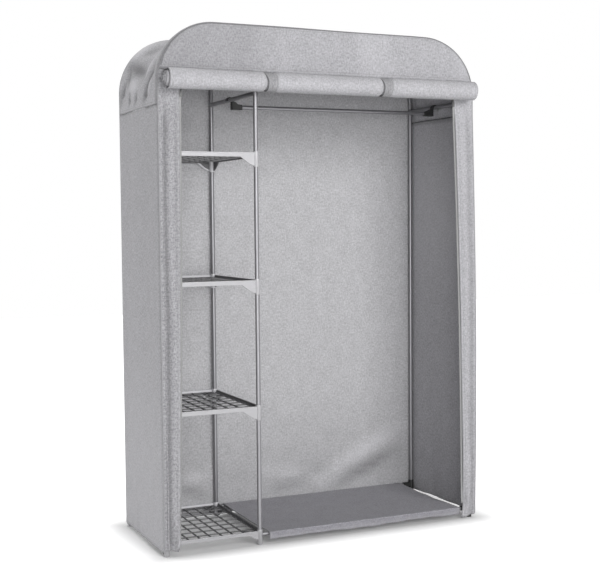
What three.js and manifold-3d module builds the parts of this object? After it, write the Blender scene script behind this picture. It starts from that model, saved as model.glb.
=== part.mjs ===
// Portable fabric wardrobe: a steel tube frame with four moulded shelves, a hanging rail and a fabric cover.
// Millimetres, +X to the right, +Y to the back, +Z up. The origin is on the floor, at the middle of the
// overall box. Inside the wardrobe group, x = 0 is the left posts and y = 0 is the front posts.
import * as THREE from 'three';
import { mergeGeometries, mergeVertices } from 'three/addons/utils/BufferGeometryUtils.js';
import Module from 'manifold-3d';

const wasm = await Module();
wasm.setup();

// Frame
const postSpacing = 1096;        // left posts to right posts, between centres
const shelfBay = 311;            // left posts to middle posts
const frameDepth = 399;          // front posts to back posts
const roofHeight = 1626;         // centreline of the roof rails
const hoopRadius = 175;          // bend of a roof hoop, on its centreline
const hoopLeg = 6;               // straight stretch from a bend to the roof rail
const sideRailDrop = 22;         // side rails below the foot of the roof hoops' bends
const rightJointShare = 0.443;   // where the two lengths of a right post meet, as a share of the roof height
const tubeDiameter = 14;
const tubeWall = 0.8;
const plugLength = 25;           // reduced tube end inside the next tube
const bottomRailDiameter = 12;
const bottomRailHeight = 32;
const fitGap = 0.3;              // clearance between pieces that seat on each other
const overrun = 5;               // how far a cutter runs past what it cuts
const tubeSides = 10;
const bendSteps = 5;

// Tees and right feet
const collarWall = 3;            // plastic round a tube, in tees, feet and shelf collars
const teeLength = 44;
const teeStem = 36;              // from the roof rail's centre down to the mouth of the stem
const footSole = 6;              // solid foot below the end of the post
const railSocketLength = 24;     // stands out of the foot, round the end of a bottom rail
const railSocketWall = 2;

// Shelves
const shelfCount = 4;
const shelfHeadroom = 381;       // rim of the upper shelf below the roof rails
const collarAboveRim = 4;
const collarBelowRim = 45;       // the collars of the lowest shelf reach the floor
const socketDepth = 20;          // how far a post goes into a collar
const apronHeight = 14;
const apronThickness = 4;
const gussetReach = 40;
const gussetDrop = 41;
const gussetSteps = 4;
const gridBars = 7;
const gridPitchAcross = 37;
const gridPitchDeep = 48;
const deepBarWidth = 4.5;        // bars that run front to back
const crossBarWidth = 3;
const gridDrop = 7;              // bars lie this far below the rim
const gridThickness = 5;
const gridEdge = 4;              // width of the border that the bars run into

// Hanging rail and its hooks
const hangingRailDiameter = 13;
const hangingRailDrop = 22;      // below the side rails, between centres
const hangingRailSetback = 226;  // behind the front posts
const hookWall = 2.5;
const hookWidth = 18;
const hookBoxLength = 36;
const hookBoxBelow = 12;         // box below the rail's centre
const hookBoxAbove = 12;
const hookSocketDepth = 30;
const hookLip = 3;               // end of the hook below the side rail's centre
const hookSteps = 8;

// Cover
const clothThickness = 1.2;
const coverSeamDrop = 41;        // seam of hood and sides below the side rails
const headerHeight = 136;        // from the seam of header, front strips and door up to the roof rails
const sideHem = 13;
const stripHem = 23;
const archSteps = 8;
const roofSpans = 4;
const hoodCornerSag = 28;
const hoodTopSag = 6;
const leftSwell = 4;             // how far the left side stands out between its edges
const rightFlare = 15;           // how far the right front edge stands out, at most
const backSwell = 5;
const hemFlareShare = 0.25;      // where along half a wave the flare starts, at the hem

// Front strips and zips: widths from the cover's edge to the zip, at two heights
const zipUpperDrop = 91;         // the upper of them, below the header seam
const zipLowerHeight = 110;
const leftStripUpperWidth = 75.5;
const leftStripLowerWidth = 56.5;
const rightStripUpperWidth = 83;
const rightStripLowerWidth = 50.5;
const zipTapeWidth = 8;
const zipTapeHem = 30;           // tape ends this far above the strip's hem
const sliderLength = 12;
const sliderParkDrop = 66;       // open slider's lower end below the header seam
const sliderWall = 1.2;
const sliderGrip = 5;            // slider over the tape
const bailRadius = 0.8;
const bailLegWidth = 1;
const pullEyeWidth = 2.4;
const pullEyeRadius = 2;
const pullWidth = 7;
const pullLength = 22;
const pullNeck = 5;
const pullThickness = 1.4;
const smallSides = 8;

// Rolled door and its straps
const rollRadius = 31.5;
const rollCore = 6;              // hollow left at the middle of the roll
const rollForward = 45;          // roll's centre in front of the front posts
const rollDrop = 32;             // roll's centre below the header seam
const rollLeftInset = 21;        // outermost turn inside the cover's left edge
const rollRightInset = 23;       // and inside its right edge
const rollTelescope = 14;        // the innermost turn lies this far further left
const doorHem = 60;              // door's hem above the floor when it hangs down
const rollStepsPerTurn = 16;
const strapWidth = 36;
const strapSetback = 3.5;        // strap's end in front of the seam
const strapWrapTurn = 0.75;      // share of a turn that the strap covers
const strapSteps = 12;
const strapPlaceShares = [0.31, 0.68];   // strap centres, as shares of the post spacing

// Floor panel
const floorPanelInset = 28;      // left edge from the middle posts
const floorPanelRight = 46;      // right edge from the right posts
const floorPanelLead = 14;       // front edge in front of the front rail's centre
const floorPanelFrontHem = 12;
const floorPanelBackHem = 18;
const floorPanelRound = 4;

// Sizes worked out from the ones above
const tubeRadius = tubeDiameter / 2;
const boreRadius = tubeRadius - tubeWall;
const plugRadius = boreRadius - fitGap;
const collarRadius = tubeRadius + collarWall;
const coverInner = collarRadius + fitGap;
const coverOuter = coverInner + clothThickness;
const coverLeft = -coverOuter;
const coverRight = postSpacing + coverOuter;
const hoopSpring = roofHeight - hoopRadius;
const sideRailHeight = hoopSpring - sideRailDrop;
const rightJointHeight = roofHeight * rightJointShare;
const shelfPitch = (roofHeight - shelfHeadroom - collarBelowRim) / (shelfCount - 1);
const coverSeamHeight = sideRailHeight - coverSeamDrop;
const headerSeamHeight = roofHeight - headerHeight;
const zipUpperHeight = headerSeamHeight - zipUpperDrop;
const sliderParkHeight = headerSeamHeight - sliderParkDrop;
const doorLength = headerSeamHeight - doorHem;
const clothHalf = clothThickness / 2;
const frontPlane = -(coverInner + clothHalf);
const rollCentre = new THREE.Vector2(-rollForward, headerSeamHeight - rollDrop);
const postRows = { front: 0, back: frameDepth };
const shelfCorners = [[0, 0], [shelfBay, 0], [shelfBay, frameDepth], [0, frameDepth]];

// Finishes
function paint(color, roughness, metalness) {
  return () => new THREE.MeshStandardMaterial({ color, roughness, metalness });
}

const steel = paint(0x8f9296, 0.42, 0.35);
const shelfPlastic = paint(0xa9abad, 0.5, 0);
const blackPlastic = paint(0x2b2b2d, 0.5, 0);
const coverCloth = paint(0xb4b4b8, 0.95, 0);
const floorCloth = paint(0x77787c, 0.95, 0);
const zipCloth = paint(0x8d8d91, 0.9, 0);
const zipMetal = paint(0x86888c, 0.4, 0.8);

const wardrobe = new THREE.Group();

// Volume enclosed by an indexed mesh, negative when its faces point inwards
function signedVolume(position, index) {
  const corner = [new THREE.Vector3(), new THREE.Vector3(), new THREE.Vector3()];
  let volume = 0;
  for (let face = 0; face < index.count; face += 3) {
    corner.forEach((point, k) => point.fromBufferAttribute(position, index.getX(face + k)));
    volume += corner[0].dot(corner[1].cross(corner[2])) / 6;
  }
  return volume;
}

// Keeps only positions, merges shared corners and turns the faces outwards
function closed(geometry) {
  geometry.deleteAttribute('normal');
  geometry.deleteAttribute('uv');
  const merged = mergeVertices(geometry);
  if (signedVolume(merged.attributes.position, merged.index) < 0) {
    merged.index.array.reverse();
  }
  return merged;
}

function solid(geometry) {
  const shell = closed(geometry);
  const vertProperties = new Float32Array(shell.attributes.position.array);
  const triVerts = new Uint32Array(shell.index.array);
  return new wasm.Manifold(new wasm.Mesh({ numProp: 3, vertProperties, triVerts }));
}

function geometryOf(manifold) {
  const mesh = manifold.getMesh();
  const geometry = new THREE.BufferGeometry();
  geometry.setAttribute('position', new THREE.BufferAttribute(new Float32Array(mesh.vertProperties), 3));
  geometry.setIndex(new THREE.BufferAttribute(new Uint32Array(mesh.triVerts), 1));
  return geometry;
}

function add(name, geometry, material, parent = wardrobe) {
  const mesh = new THREE.Mesh(geometry.index ? geometry : closed(geometry), material());
  mesh.geometry.computeVertexNormals();
  mesh.name = name;
  parent.add(mesh);
  return mesh;
}

// A flat outline, given as pairs, carried straight along one axis
function prism(outline, length, holes = []) {
  const toPoints = (pairs) => pairs.map(([a, b]) => new THREE.Vector2(a, b));
  const shape = new THREE.Shape(toPoints(outline));
  shape.holes = holes.map((hole) => new THREE.Path(toPoints(hole)));
  return new THREE.ExtrudeGeometry(shape, { depth: length, bevelEnabled: false, curveSegments: 1 });
}

// Outline in (y, z), carried along x
function prismX(outline, from, to) {
  const turn = new THREE.Matrix4().set(0, 0, 1, from, 1, 0, 0, 0, 0, 1, 0, 0, 0, 0, 0, 1);
  return closed(prism(outline, to - from).applyMatrix4(turn));
}

// Outline in (x, z), carried along y
function prismY(outline, from, to) {
  const turn = new THREE.Matrix4().set(1, 0, 0, 0, 0, 0, -1, to, 0, 1, 0, 0, 0, 0, 0, 1);
  return closed(prism(outline, to - from).applyMatrix4(turn));
}

// Outline in (x, y), carried along z
function prismZ(outline, from, to, holes) {
  return closed(prism(outline, to - from, holes).translate(0, 0, from));
}

const rectangle = (a0, b0, a1, b1) => [[a0, b0], [a1, b0], [a1, b1], [a0, b1]];

// A profile of (radius, height) pairs turned about Z, with a corner of the ring on the Y axis
function turned(profile, sides = tubeSides) {
  const points = [...profile, profile[0]].map(([radius, height]) => new THREE.Vector2(radius, height));
  return closed(new THREE.LatheGeometry(points, sides).rotateX(Math.PI / 2));
}

const tube = (outer, inner, length) => turned([[inner, 0], [outer, 0], [outer, length], [inner, length]]);
const rod = (radius, from, to, sides) => turned([[0, from], [radius, from], [radius, to], [0, to]], sides);
const alongX = (geometry) => geometry.rotateY(Math.PI / 2);
const alongY = (geometry) => geometry.rotateX(-Math.PI / 2);

// A band of even thickness along a line of points, as an outline
function band(points, thickness) {
  const side = (sign) => points.map((point, k) => {
    const before = points[Math.max(k - 1, 0)];
    const after = points[Math.min(k + 1, points.length - 1)];
    const along = after.clone().sub(before).normalize();
    return [point.x - sign * along.y * thickness / 2, point.y + sign * along.x * thickness / 2];
  });
  return [...side(1), ...side(-1).reverse()];
}

// A cloth panel: a grid of places on its inner face and on its outer face, closed round the rim. Both faces
// are cut along the same diagonals, so that they stay apart where the panel twists.
function panel(columns, rows, inner, outer) {
  const positions = [];
  const index = [];
  const corner = (face, i, j) => (face * columns + i) * rows + j;
  [inner, outer].forEach((place) => {
    for (let i = 0; i < columns; i += 1) {
      for (let j = 0; j < rows; j += 1) {
        positions.push(...place(i / (columns - 1), j / (rows - 1)));
      }
    }
  });
  const quad = (a, b, c, d) => index.push(a, b, c, a, c, d);
  const lastColumn = columns - 1;
  const lastRow = rows - 1;
  for (let i = 0; i < lastColumn; i += 1) {
    for (let j = 0; j < lastRow; j += 1) {
      quad(corner(0, i, j), corner(0, i + 1, j), corner(0, i + 1, j + 1), corner(0, i, j + 1));
      quad(corner(1, i, j), corner(1, i, j + 1), corner(1, i + 1, j + 1), corner(1, i + 1, j));
    }
  }
  for (let i = 0; i < lastColumn; i += 1) {
    quad(corner(1, i, 0), corner(1, i + 1, 0), corner(0, i + 1, 0), corner(0, i, 0));
    quad(corner(0, i, lastRow), corner(0, i + 1, lastRow), corner(1, i + 1, lastRow), corner(1, i, lastRow));
  }
  for (let j = 0; j < lastRow; j += 1) {
    quad(corner(0, 0, j), corner(0, 0, j + 1), corner(1, 0, j + 1), corner(1, 0, j));
    quad(corner(1, lastColumn, j), corner(1, lastColumn, j + 1),
      corner(0, lastColumn, j + 1), corner(0, lastColumn, j));
  }
  const geometry = new THREE.BufferGeometry();
  geometry.setAttribute('position', new THREE.Float32BufferAttribute(positions, 3));
  geometry.setIndex(index);
  return closed(geometry);
}

// Posts: the left and middle ones are cut into lengths that plug into the shelf collars, and the right ones
// stand in a foot. The long legs of the roof hoops carry the left and right posts on to the roof.
const rimHeight = (shelf) => collarBelowRim + shelf * shelfPitch;
const postFoot = (shelf) => rimHeight(shelf) + collarAboveRim - socketDepth + fitGap;
const lengthNames = ['lower', 'centre', 'upper'];

function addPostLength(name, x, y, foot, head) {
  add(name, tube(tubeRadius, boreRadius, head - foot), steel).position.set(x, y, foot);
}

function addPosts() {
  const topShelf = shelfCount - 1;
  for (const [row, y] of Object.entries(postRows)) {
    for (const [side, x] of [['left', 0], ['middle', shelfBay]]) {
      lengthNames.forEach((name, shelf) => {
        const head = rimHeight(shelf + 1) - collarBelowRim + socketDepth - fitGap;
        addPostLength(`${side}_${row}_post_${name}`, x, y, postFoot(shelf), head);
      });
    }
    addPostLength(`middle_${row}_post_top`, shelfBay, y, postFoot(topShelf), roofHeight - tubeRadius - fitGap);
    addPostLength(`right_${row}_post`, postSpacing, y, footSole + fitGap, rightJointHeight - fitGap);
  }
}

// A roof hoop's corner runs up a leg, round a quarter bend and along a leg, with one ring at each station
class HoopBend extends THREE.Curve {
  constructor(legDown, legAcross) {
    super();
    const up = new THREE.Vector3(0, 0, 1);
    const across = new THREE.Vector3(1, 0, 0);
    this.stations = [{ place: new THREE.Vector3(0, 0, -legDown), heading: up }];
    for (let step = 0; step <= bendSteps; step += 1) {
      const angle = (Math.PI / 2) * (step / bendSteps);
      this.stations.push({
        place: new THREE.Vector3(hoopRadius * (1 - Math.cos(angle)), 0, hoopRadius * Math.sin(angle)),
        heading: new THREE.Vector3(Math.sin(angle), 0, Math.cos(angle)),
      });
    }
    this.stations.push({ place: new THREE.Vector3(hoopRadius + legAcross, 0, hoopRadius), heading: across });
  }

  get steps() {
    return this.stations.length - 1;
  }

  getPointAt(share, target = new THREE.Vector3()) {
    return target.copy(this.stations[Math.round(share * this.steps)].place);
  }

  getTangentAt(share, target = new THREE.Vector3()) {
    return target.copy(this.stations[Math.round(share * this.steps)].heading);
  }
}

function bentRod(radius, legDown, legAcross) {
  const ring = new THREE.Shape();
  for (let side = 0; side < tubeSides; side += 1) {
    const angle = (2 * Math.PI * side) / tubeSides;
    const place = [radius * Math.cos(angle), radius * Math.sin(angle)];
    if (side === 0) {
      ring.moveTo(...place);
    } else {
      ring.lineTo(...place);
    }
  }
  const path = new HoopBend(legDown, legAcross);
  return solid(new THREE.ExtrudeGeometry(ring, { extrudePath: path, steps: path.steps, curveSegments: 1 }));
}

// A hoop is two bent corners and a straight roof rail over their plugs. The left corners stand in the collars
// of the upper shelf, and the right ones plug into the right posts.
function addHoops() {
  const plugged = hoopLeg + plugLength;
  const bore = plugRadius - tubeWall;
  const leftLeg = hoopSpring - postFoot(shelfCount - 1);
  const rightLeg = hoopSpring - rightJointHeight;
  const leftCorner = geometryOf(bentRod(tubeRadius, leftLeg, hoopLeg)
    .add(bentRod(plugRadius, leftLeg, plugged))
    .subtract(bentRod(bore, leftLeg + overrun, plugged + overrun)));
  const rightCorner = geometryOf(bentRod(tubeRadius, rightLeg, hoopLeg)
    .add(bentRod(plugRadius, rightLeg + plugLength, plugged))
    .subtract(bentRod(bore, rightLeg + plugLength + overrun, plugged + overrun)));
  const railStart = hoopRadius + hoopLeg + fitGap;
  const rail = alongX(tube(tubeRadius, boreRadius, postSpacing - 2 * railStart));
  for (const [row, y] of Object.entries(postRows)) {
    const left = add(`left_${row}_hoop_corner`, leftCorner.clone(), steel);
    left.position.set(0, y, hoopSpring);
    const right = add(`right_${row}_hoop_corner`, rightCorner.clone(), steel);
    right.position.set(postSpacing, y, hoopSpring);
    right.rotation.z = Math.PI;
    add(`${row}_roof_rail`, rail.clone(), steel).position.set(railStart, y, roofHeight);
  }
}

// Plastic tee: a sleeve on the roof rail with a stem down over the middle post
function addTees() {
  const sleeve = solid(alongX(rod(collarRadius, -teeLength / 2, teeLength / 2)));
  const stem = solid(rod(collarRadius, -teeStem, 0));
  const railBore = solid(alongX(rod(tubeRadius + fitGap, -teeLength, teeLength)));
  const postBore = solid(rod(tubeRadius + fitGap, -teeStem - overrun, 0));
  const tee = geometryOf(sleeve.add(stem).subtract(railBore).subtract(postBore));
  for (const [row, y] of Object.entries(postRows)) {
    add(`middle_${row}_tee`, tee.clone(), blackPlastic).position.set(shelfBay, y, roofHeight);
  }
}

// Side rails run front to back, and their ends are coped to saddle the posts
function addSideRails() {
  const cutter = solid(rod(tubeRadius + fitGap, -collarRadius - overrun, collarRadius + overrun));
  const rail = solid(alongY(tube(tubeRadius, boreRadius, frameDepth)))
    .subtract(cutter)
    .subtract(cutter.translate([0, frameDepth, 0]));
  const places = { left: 0, middle: shelfBay, right: postSpacing };
  for (const [side, x] of Object.entries(places)) {
    add(`${side}_side_rail`, geometryOf(rail), steel).position.set(x, 0, sideRailHeight);
  }
}

// Right foot: a cup for the post, with a socket for the end of a bottom rail
function addRightFeet() {
  const railRadius = bottomRailDiameter / 2;
  const socketMouth = -(collarRadius + railSocketLength);
  const cup = solid(rod(collarRadius, 0, collarBelowRim + collarAboveRim));
  const socket = solid(alongX(rod(railRadius + fitGap + railSocketWall, socketMouth, 0)))
    .translate([0, 0, bottomRailHeight]);
  const railBore = solid(alongX(rod(railRadius + fitGap, socketMouth - overrun, -collarRadius)))
    .translate([0, 0, bottomRailHeight]);
  const postBore = solid(rod(tubeRadius + fitGap, footSole, collarBelowRim + collarAboveRim + overrun));
  const foot = geometryOf(cup.add(socket).subtract(railBore).subtract(postBore));
  for (const [row, y] of Object.entries(postRows)) {
    add(`right_${row}_foot`, foot.clone(), blackPlastic).position.set(postSpacing, y, 0);
  }
}

// Bottom rails: one end saddles a collar of the lowest shelf, the other stands in a right foot
function addBottomRails() {
  const railRadius = bottomRailDiameter / 2;
  const length = postSpacing - shelfBay - collarRadius - fitGap;
  const saddle = solid(rod(collarRadius + fitGap, -collarRadius, collarRadius));
  const rail = geometryOf(solid(alongX(tube(railRadius, railRadius - tubeWall, length))).subtract(saddle));
  for (const [row, y] of Object.entries(postRows)) {
    add(`${row}_bottom_rail`, rail.clone(), steel).position.set(shelfBay, y, bottomRailHeight);
  }
}

// Moulded shelf, its rim at z = 0: four gusseted aprons with a post collar at each corner
function gussetedApron(span) {
  const gusset = Array.from({ length: gussetSteps + 1 }, (_, step) => {
    const angle = (Math.PI / 2) * (step / gussetSteps);
    return [
      collarRadius + gussetReach * (1 - Math.cos(angle)),
      -gussetDrop + (gussetDrop - apronHeight) * Math.sin(angle),
    ];
  });
  const nearEnd = [[0, -gussetDrop], ...gusset];
  const farEnd = nearEnd.map(([a, z]) => [span - a, z]).reverse();
  return [[0, 0], ...nearEnd, ...farEnd, [span, 0]];
}

// Gaps between the bars across one span, as pairs of edges. The outermost bars are the grid's border.
function barGaps(span, pitch, barWidth, borderInner) {
  const edges = [borderInner];
  for (let bar = 0; bar < gridBars; bar += 1) {
    const centre = span / 2 + (bar - (gridBars - 1) / 2) * pitch;
    edges.push(centre - barWidth / 2, centre + barWidth / 2);
  }
  edges.push(span - borderInner);
  return Array.from({ length: gridBars + 1 }, (_, gap) => [edges[2 * gap], edges[2 * gap + 1]]);
}

// Grid that lies between the aprons, cut out at its corners for the collars
function gridPlate() {
  const edge = apronThickness - tubeRadius + fitGap;
  const outline = rectangle(edge, edge, shelfBay - edge, frameDepth - edge);
  const across = barGaps(shelfBay, gridPitchAcross, deepBarWidth, edge + gridEdge);
  const deep = barGaps(frameDepth, gridPitchDeep, crossBarWidth, edge + gridEdge);
  const cutFrom = -gridDrop - gridThickness - overrun;
  const holes = across.flatMap(([x0, x1]) => deep.map(([y0, y1]) => (
    prismZ(rectangle(x0, y0, x1, y1), cutFrom, overrun - gridDrop))));
  const notch = solid(rod(collarRadius + fitGap, cutFrom, overrun - gridDrop));
  let plate = solid(prismZ(outline, -gridDrop - gridThickness, -gridDrop))
    .subtract(solid(mergeGeometries(holes)));
  shelfCorners.forEach(([x, y]) => {
    plate = plate.subtract(notch.translate([x, y, 0]));
  });
  return geometryOf(plate);
}

function shelfRim(reachesFloor) {
  const inner = apronThickness - tubeRadius;
  const sideApron = gussetedApron(frameDepth);
  const frontApron = gussetedApron(shelfBay);
  let body = solid(prismY(frontApron, -tubeRadius, inner))
    .add(solid(prismY(frontApron, frameDepth - inner, frameDepth + tubeRadius)))
    .add(solid(prismX(sideApron, -tubeRadius, inner)))
    .add(solid(prismX(sideApron, shelfBay - inner, shelfBay + tubeRadius)));
  const collar = solid(rod(collarRadius, -collarBelowRim, collarAboveRim));
  shelfCorners.forEach(([x, y]) => {
    body = body.add(collar.translate([x, y, 0]));
  });
  const upperSocket = solid(rod(tubeRadius + fitGap, collarAboveRim - socketDepth, collarAboveRim + overrun));
  const lowerSocket = solid(rod(tubeRadius + fitGap, -collarBelowRim - overrun, socketDepth - collarBelowRim));
  shelfCorners.forEach(([x, y]) => {
    body = body.subtract(upperSocket.translate([x, y, 0]));
    if (!reachesFloor) {
      body = body.subtract(lowerSocket.translate([x, y, 0]));
    }
  });
  return geometryOf(body);
}

function addShelves() {
  ['bottom', 'lower', 'middle', 'upper'].forEach((name, shelf) => {
    add(`${name}_shelf`, shelfRim(shelf === 0), shelfPlastic).position.z = rimHeight(shelf);
    add(`${name}_shelf_grid`, gridPlate(), shelfPlastic).position.z = rimHeight(shelf);
  });
}

// Hook bracket: a saddle over the side rail and a box round the end of the hanging rail, about the side rail
function hookBody() {
  const inner = tubeRadius + fitGap;
  const outer = inner + hookWall;
  const arc = (radius, from, to) => Array.from({ length: hookSteps + 1 }, (_, step) => {
    const angle = from + (to - from) * (step / hookSteps);
    return [radius * Math.cos(angle), radius * Math.sin(angle)];
  });
  const boxEnd = inner + hookBoxLength;
  const outline = [
    [inner, -hangingRailDrop - hookBoxBelow],
    [boxEnd, -hangingRailDrop - hookBoxBelow],
    [boxEnd, -hangingRailDrop + hookBoxAbove],
    [outer + hookWall, -hangingRailDrop + hookBoxAbove],
    ...arc(outer, 0, Math.PI),
    [-outer, -hookLip],
    [-inner, -hookLip],
    ...arc(inner, Math.PI, 0),
  ];
  const bore = solid(alongX(rod(hangingRailDiameter / 2 + fitGap, boxEnd - hookSocketDepth, boxEnd + overrun)));
  const body = solid(prismY(outline, -hookWidth / 2, hookWidth / 2));
  return geometryOf(body.subtract(bore.translate([0, 0, -hangingRailDrop])));
}

function addHangingRail() {
  const hook = hookBody();
  const left = add('hanging_rail_left_hook', hook.clone(), blackPlastic);
  left.position.set(shelfBay, hangingRailSetback, sideRailHeight);
  const right = add('hanging_rail_right_hook', hook.clone(), blackPlastic);
  right.position.set(postSpacing, hangingRailSetback, sideRailHeight);
  right.rotation.z = Math.PI;
  const railEnd = tubeRadius + fitGap + hookBoxLength - hookSocketDepth + fitGap;
  const radius = hangingRailDiameter / 2;
  const rail = alongX(tube(radius, radius - tubeWall, postSpacing - shelfBay - 2 * railEnd));
  const height = sideRailHeight - hangingRailDrop;
  add('hanging_rail', rail, steel).position.set(shelfBay + railEnd, hangingRailSetback, height);
}

// Floor panel: cloth sleeved over the two bottom rails, with a short skirt down the front and the back
function addFloorPanel() {
  const top = bottomRailHeight + bottomRailDiameter / 2 + fitGap + clothHalf;
  const front = -floorPanelLead;
  const back = frameDepth + coverInner - fitGap - clothHalf;
  const line = [
    [front, floorPanelFrontHem], [front, top - floorPanelRound], [front + floorPanelRound, top],
    [back - floorPanelRound, top], [back, top - floorPanelRound], [back, floorPanelBackHem],
  ].map(([y, z]) => new THREE.Vector2(y, z));
  const left = shelfBay + floorPanelInset;
  add('floor_panel', prismX(band(line, clothThickness), left, postSpacing - floorPanelRight), floorCloth);
}

// The cover's outline seen from the front, at a distance outside the hoop's centreline.
// Stations run from the left seam up, over and down to the right seam. turn is 1 at the middle of a corner.
function archStations(seam) {
  const stations = [{ centre: [0, seam], out: [-1, 0], turn: 0, roof: 0 }];
  const corner = (centreX, from) => {
    for (let step = 0; step <= archSteps; step += 1) {
      const angle = from - (Math.PI / 2) * (step / archSteps);
      const out = [Math.cos(angle), Math.sin(angle)];
      stations.push({
        centre: [centreX + hoopRadius * out[0], hoopSpring + hoopRadius * out[1]],
        out,
        turn: Math.sin(2 * Math.abs(angle - Math.PI / 2)),
        roof: out[1],
      });
    }
  };
  corner(hoopRadius, Math.PI);
  for (let span = 1; span < roofSpans; span += 1) {
    const x = hoopRadius + (postSpacing - 2 * hoopRadius) * (span / roofSpans);
    stations.push({ centre: [x, roofHeight], out: [0, 1], turn: 0, roof: 1 });
  }
  corner(postSpacing - hoopRadius, Math.PI / 2);
  stations.push({ centre: [postSpacing, seam], out: [1, 0], turn: 0, roof: 0 });
  return stations;
}

// Hood: drawn over the two hoops, it sags between them, most of all over the corners
function addHood() {
  const stations = archStations(coverSeamHeight + fitGap);
  const columns = stations.length;
  const rows = 9;
  const front = -coverInner + fitGap;
  const depth = frameDepth - 2 * front;
  const place = (offset) => (u, v) => {
    const station = stations[Math.round(u * (columns - 1))];
    const sag = (hoodCornerSag * station.turn + hoodTopSag * station.roof) * Math.sin(Math.PI * v) ** 2;
    const reach = offset - sag;
    return [
      station.centre[0] + reach * station.out[0],
      front + depth * v,
      station.centre[1] + reach * station.out[1],
    ];
  };
  add('hood', panel(columns, rows, place(coverInner), place(coverOuter)), coverCloth);
}

// Header: the flat front of the hood, above the seam that the door hangs from
function addHeader() {
  const outline = archStations(coverSeamHeight)
    .map(({ centre, out }) => [centre[0] + coverOuter * out[0], centre[1] + coverOuter * out[1]])
    .filter(([, z]) => z > headerSeamHeight);
  outline.unshift([archEdge(headerSeamHeight), headerSeamHeight]);
  outline.push([postSpacing - archEdge(headerSeamHeight), headerSeamHeight]);
  add('header', prismY(outline, -coverOuter, -coverInner), coverCloth);
}

// Left edge of the cover at a height, which follows the corner of the hoop above its spring
function archEdge(z) {
  const rise = Math.max(z - hoopSpring, 0);
  const radius = hoopRadius + coverOuter;
  return hoopRadius - Math.sqrt(radius * radius - rise * rise);
}

// How far the right front edge stands out at a height
function flareAt(z) {
  const share = Math.min((z - sideHem) / (coverSeamHeight - sideHem), 1);
  return rightFlare * Math.sin(Math.PI * (hemFlareShare + (1 - hemFlareShare) * share));
}

function addBackPanel() {
  const stations = archStations(coverSeamHeight).slice(1, -1);
  const columns = stations.length;
  const rows = 7;
  const place = (offset) => (u, v) => {
    const { centre, out } = stations[Math.round(u * (columns - 1))];
    const top = centre[1] + coverOuter * out[1];
    const swell = backSwell * Math.sin(Math.PI * u) * Math.sin(Math.PI * v);
    return [centre[0] + coverOuter * out[0], frameDepth + offset + swell, sideHem + (top - sideHem) * v];
  };
  add('back_panel', panel(columns, rows, place(coverInner), place(coverOuter)), coverCloth);
}

function addSides() {
  const columns = 7;
  const rows = 9;
  const front = -coverInner + fitGap;
  const depth = frameDepth - 2 * front;
  const height = coverSeamHeight - sideHem;
  const left = (offset) => (u, v) => {
    const swell = leftSwell * Math.sin(Math.PI * u) * Math.sin(Math.PI * v);
    return [-offset - swell, front + depth * u, sideHem + height * v];
  };
  const right = (offset) => (u, v) => {
    const z = sideHem + height * v;
    return [postSpacing + offset + flareAt(z) * (1 - u), front + depth * u, z];
  };
  add('left_side', panel(columns, rows, left(coverInner), left(coverOuter)), coverCloth);
  add('right_side', panel(columns, rows, right(coverInner), right(coverOuter)), coverCloth);
}

// Inner edge of the zip tape: a straight line from the hem to the header
function zipEdge(side, z) {
  const share = (z - zipLowerHeight) / (zipUpperHeight - zipLowerHeight);
  const lower = side < 0 ? leftStripLowerWidth : rightStripLowerWidth;
  const upper = side < 0 ? leftStripUpperWidth : rightStripUpperWidth;
  const width = lower + (upper - lower) * share;
  return side < 0 ? coverLeft + width : coverRight - width;
}

function addFrontStrips() {
  const top = headerSeamHeight - fitGap;
  const rows = 15;
  for (const [name, side] of [['left', -1], ['right', 1]]) {
    const outerEdge = (z) => (side < 0 ? archEdge(z) : postSpacing - archEdge(z) + flareAt(z));
    const innerEdge = (z) => zipEdge(side, z) + side * (zipTapeWidth + fitGap);
    const place = (offset) => (u, v) => {
      const z = stripHem + (top - stripHem) * v;
      return [outerEdge(z) + (innerEdge(z) - outerEdge(z)) * u, -offset, z];
    };
    add(`${name}_front_strip`, panel(2, rows, place(coverInner), place(coverOuter)), coverCloth);
    const low = stripHem + zipTapeHem;
    const tape = [
      [zipEdge(side, low), low], [zipEdge(side, low) + side * zipTapeWidth, low],
      [zipEdge(side, top) + side * zipTapeWidth, top], [zipEdge(side, top), top],
    ];
    add(`${name}_zip_tape`, prismY(tape, -coverOuter, -coverInner), zipCloth);
  }
}

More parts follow.
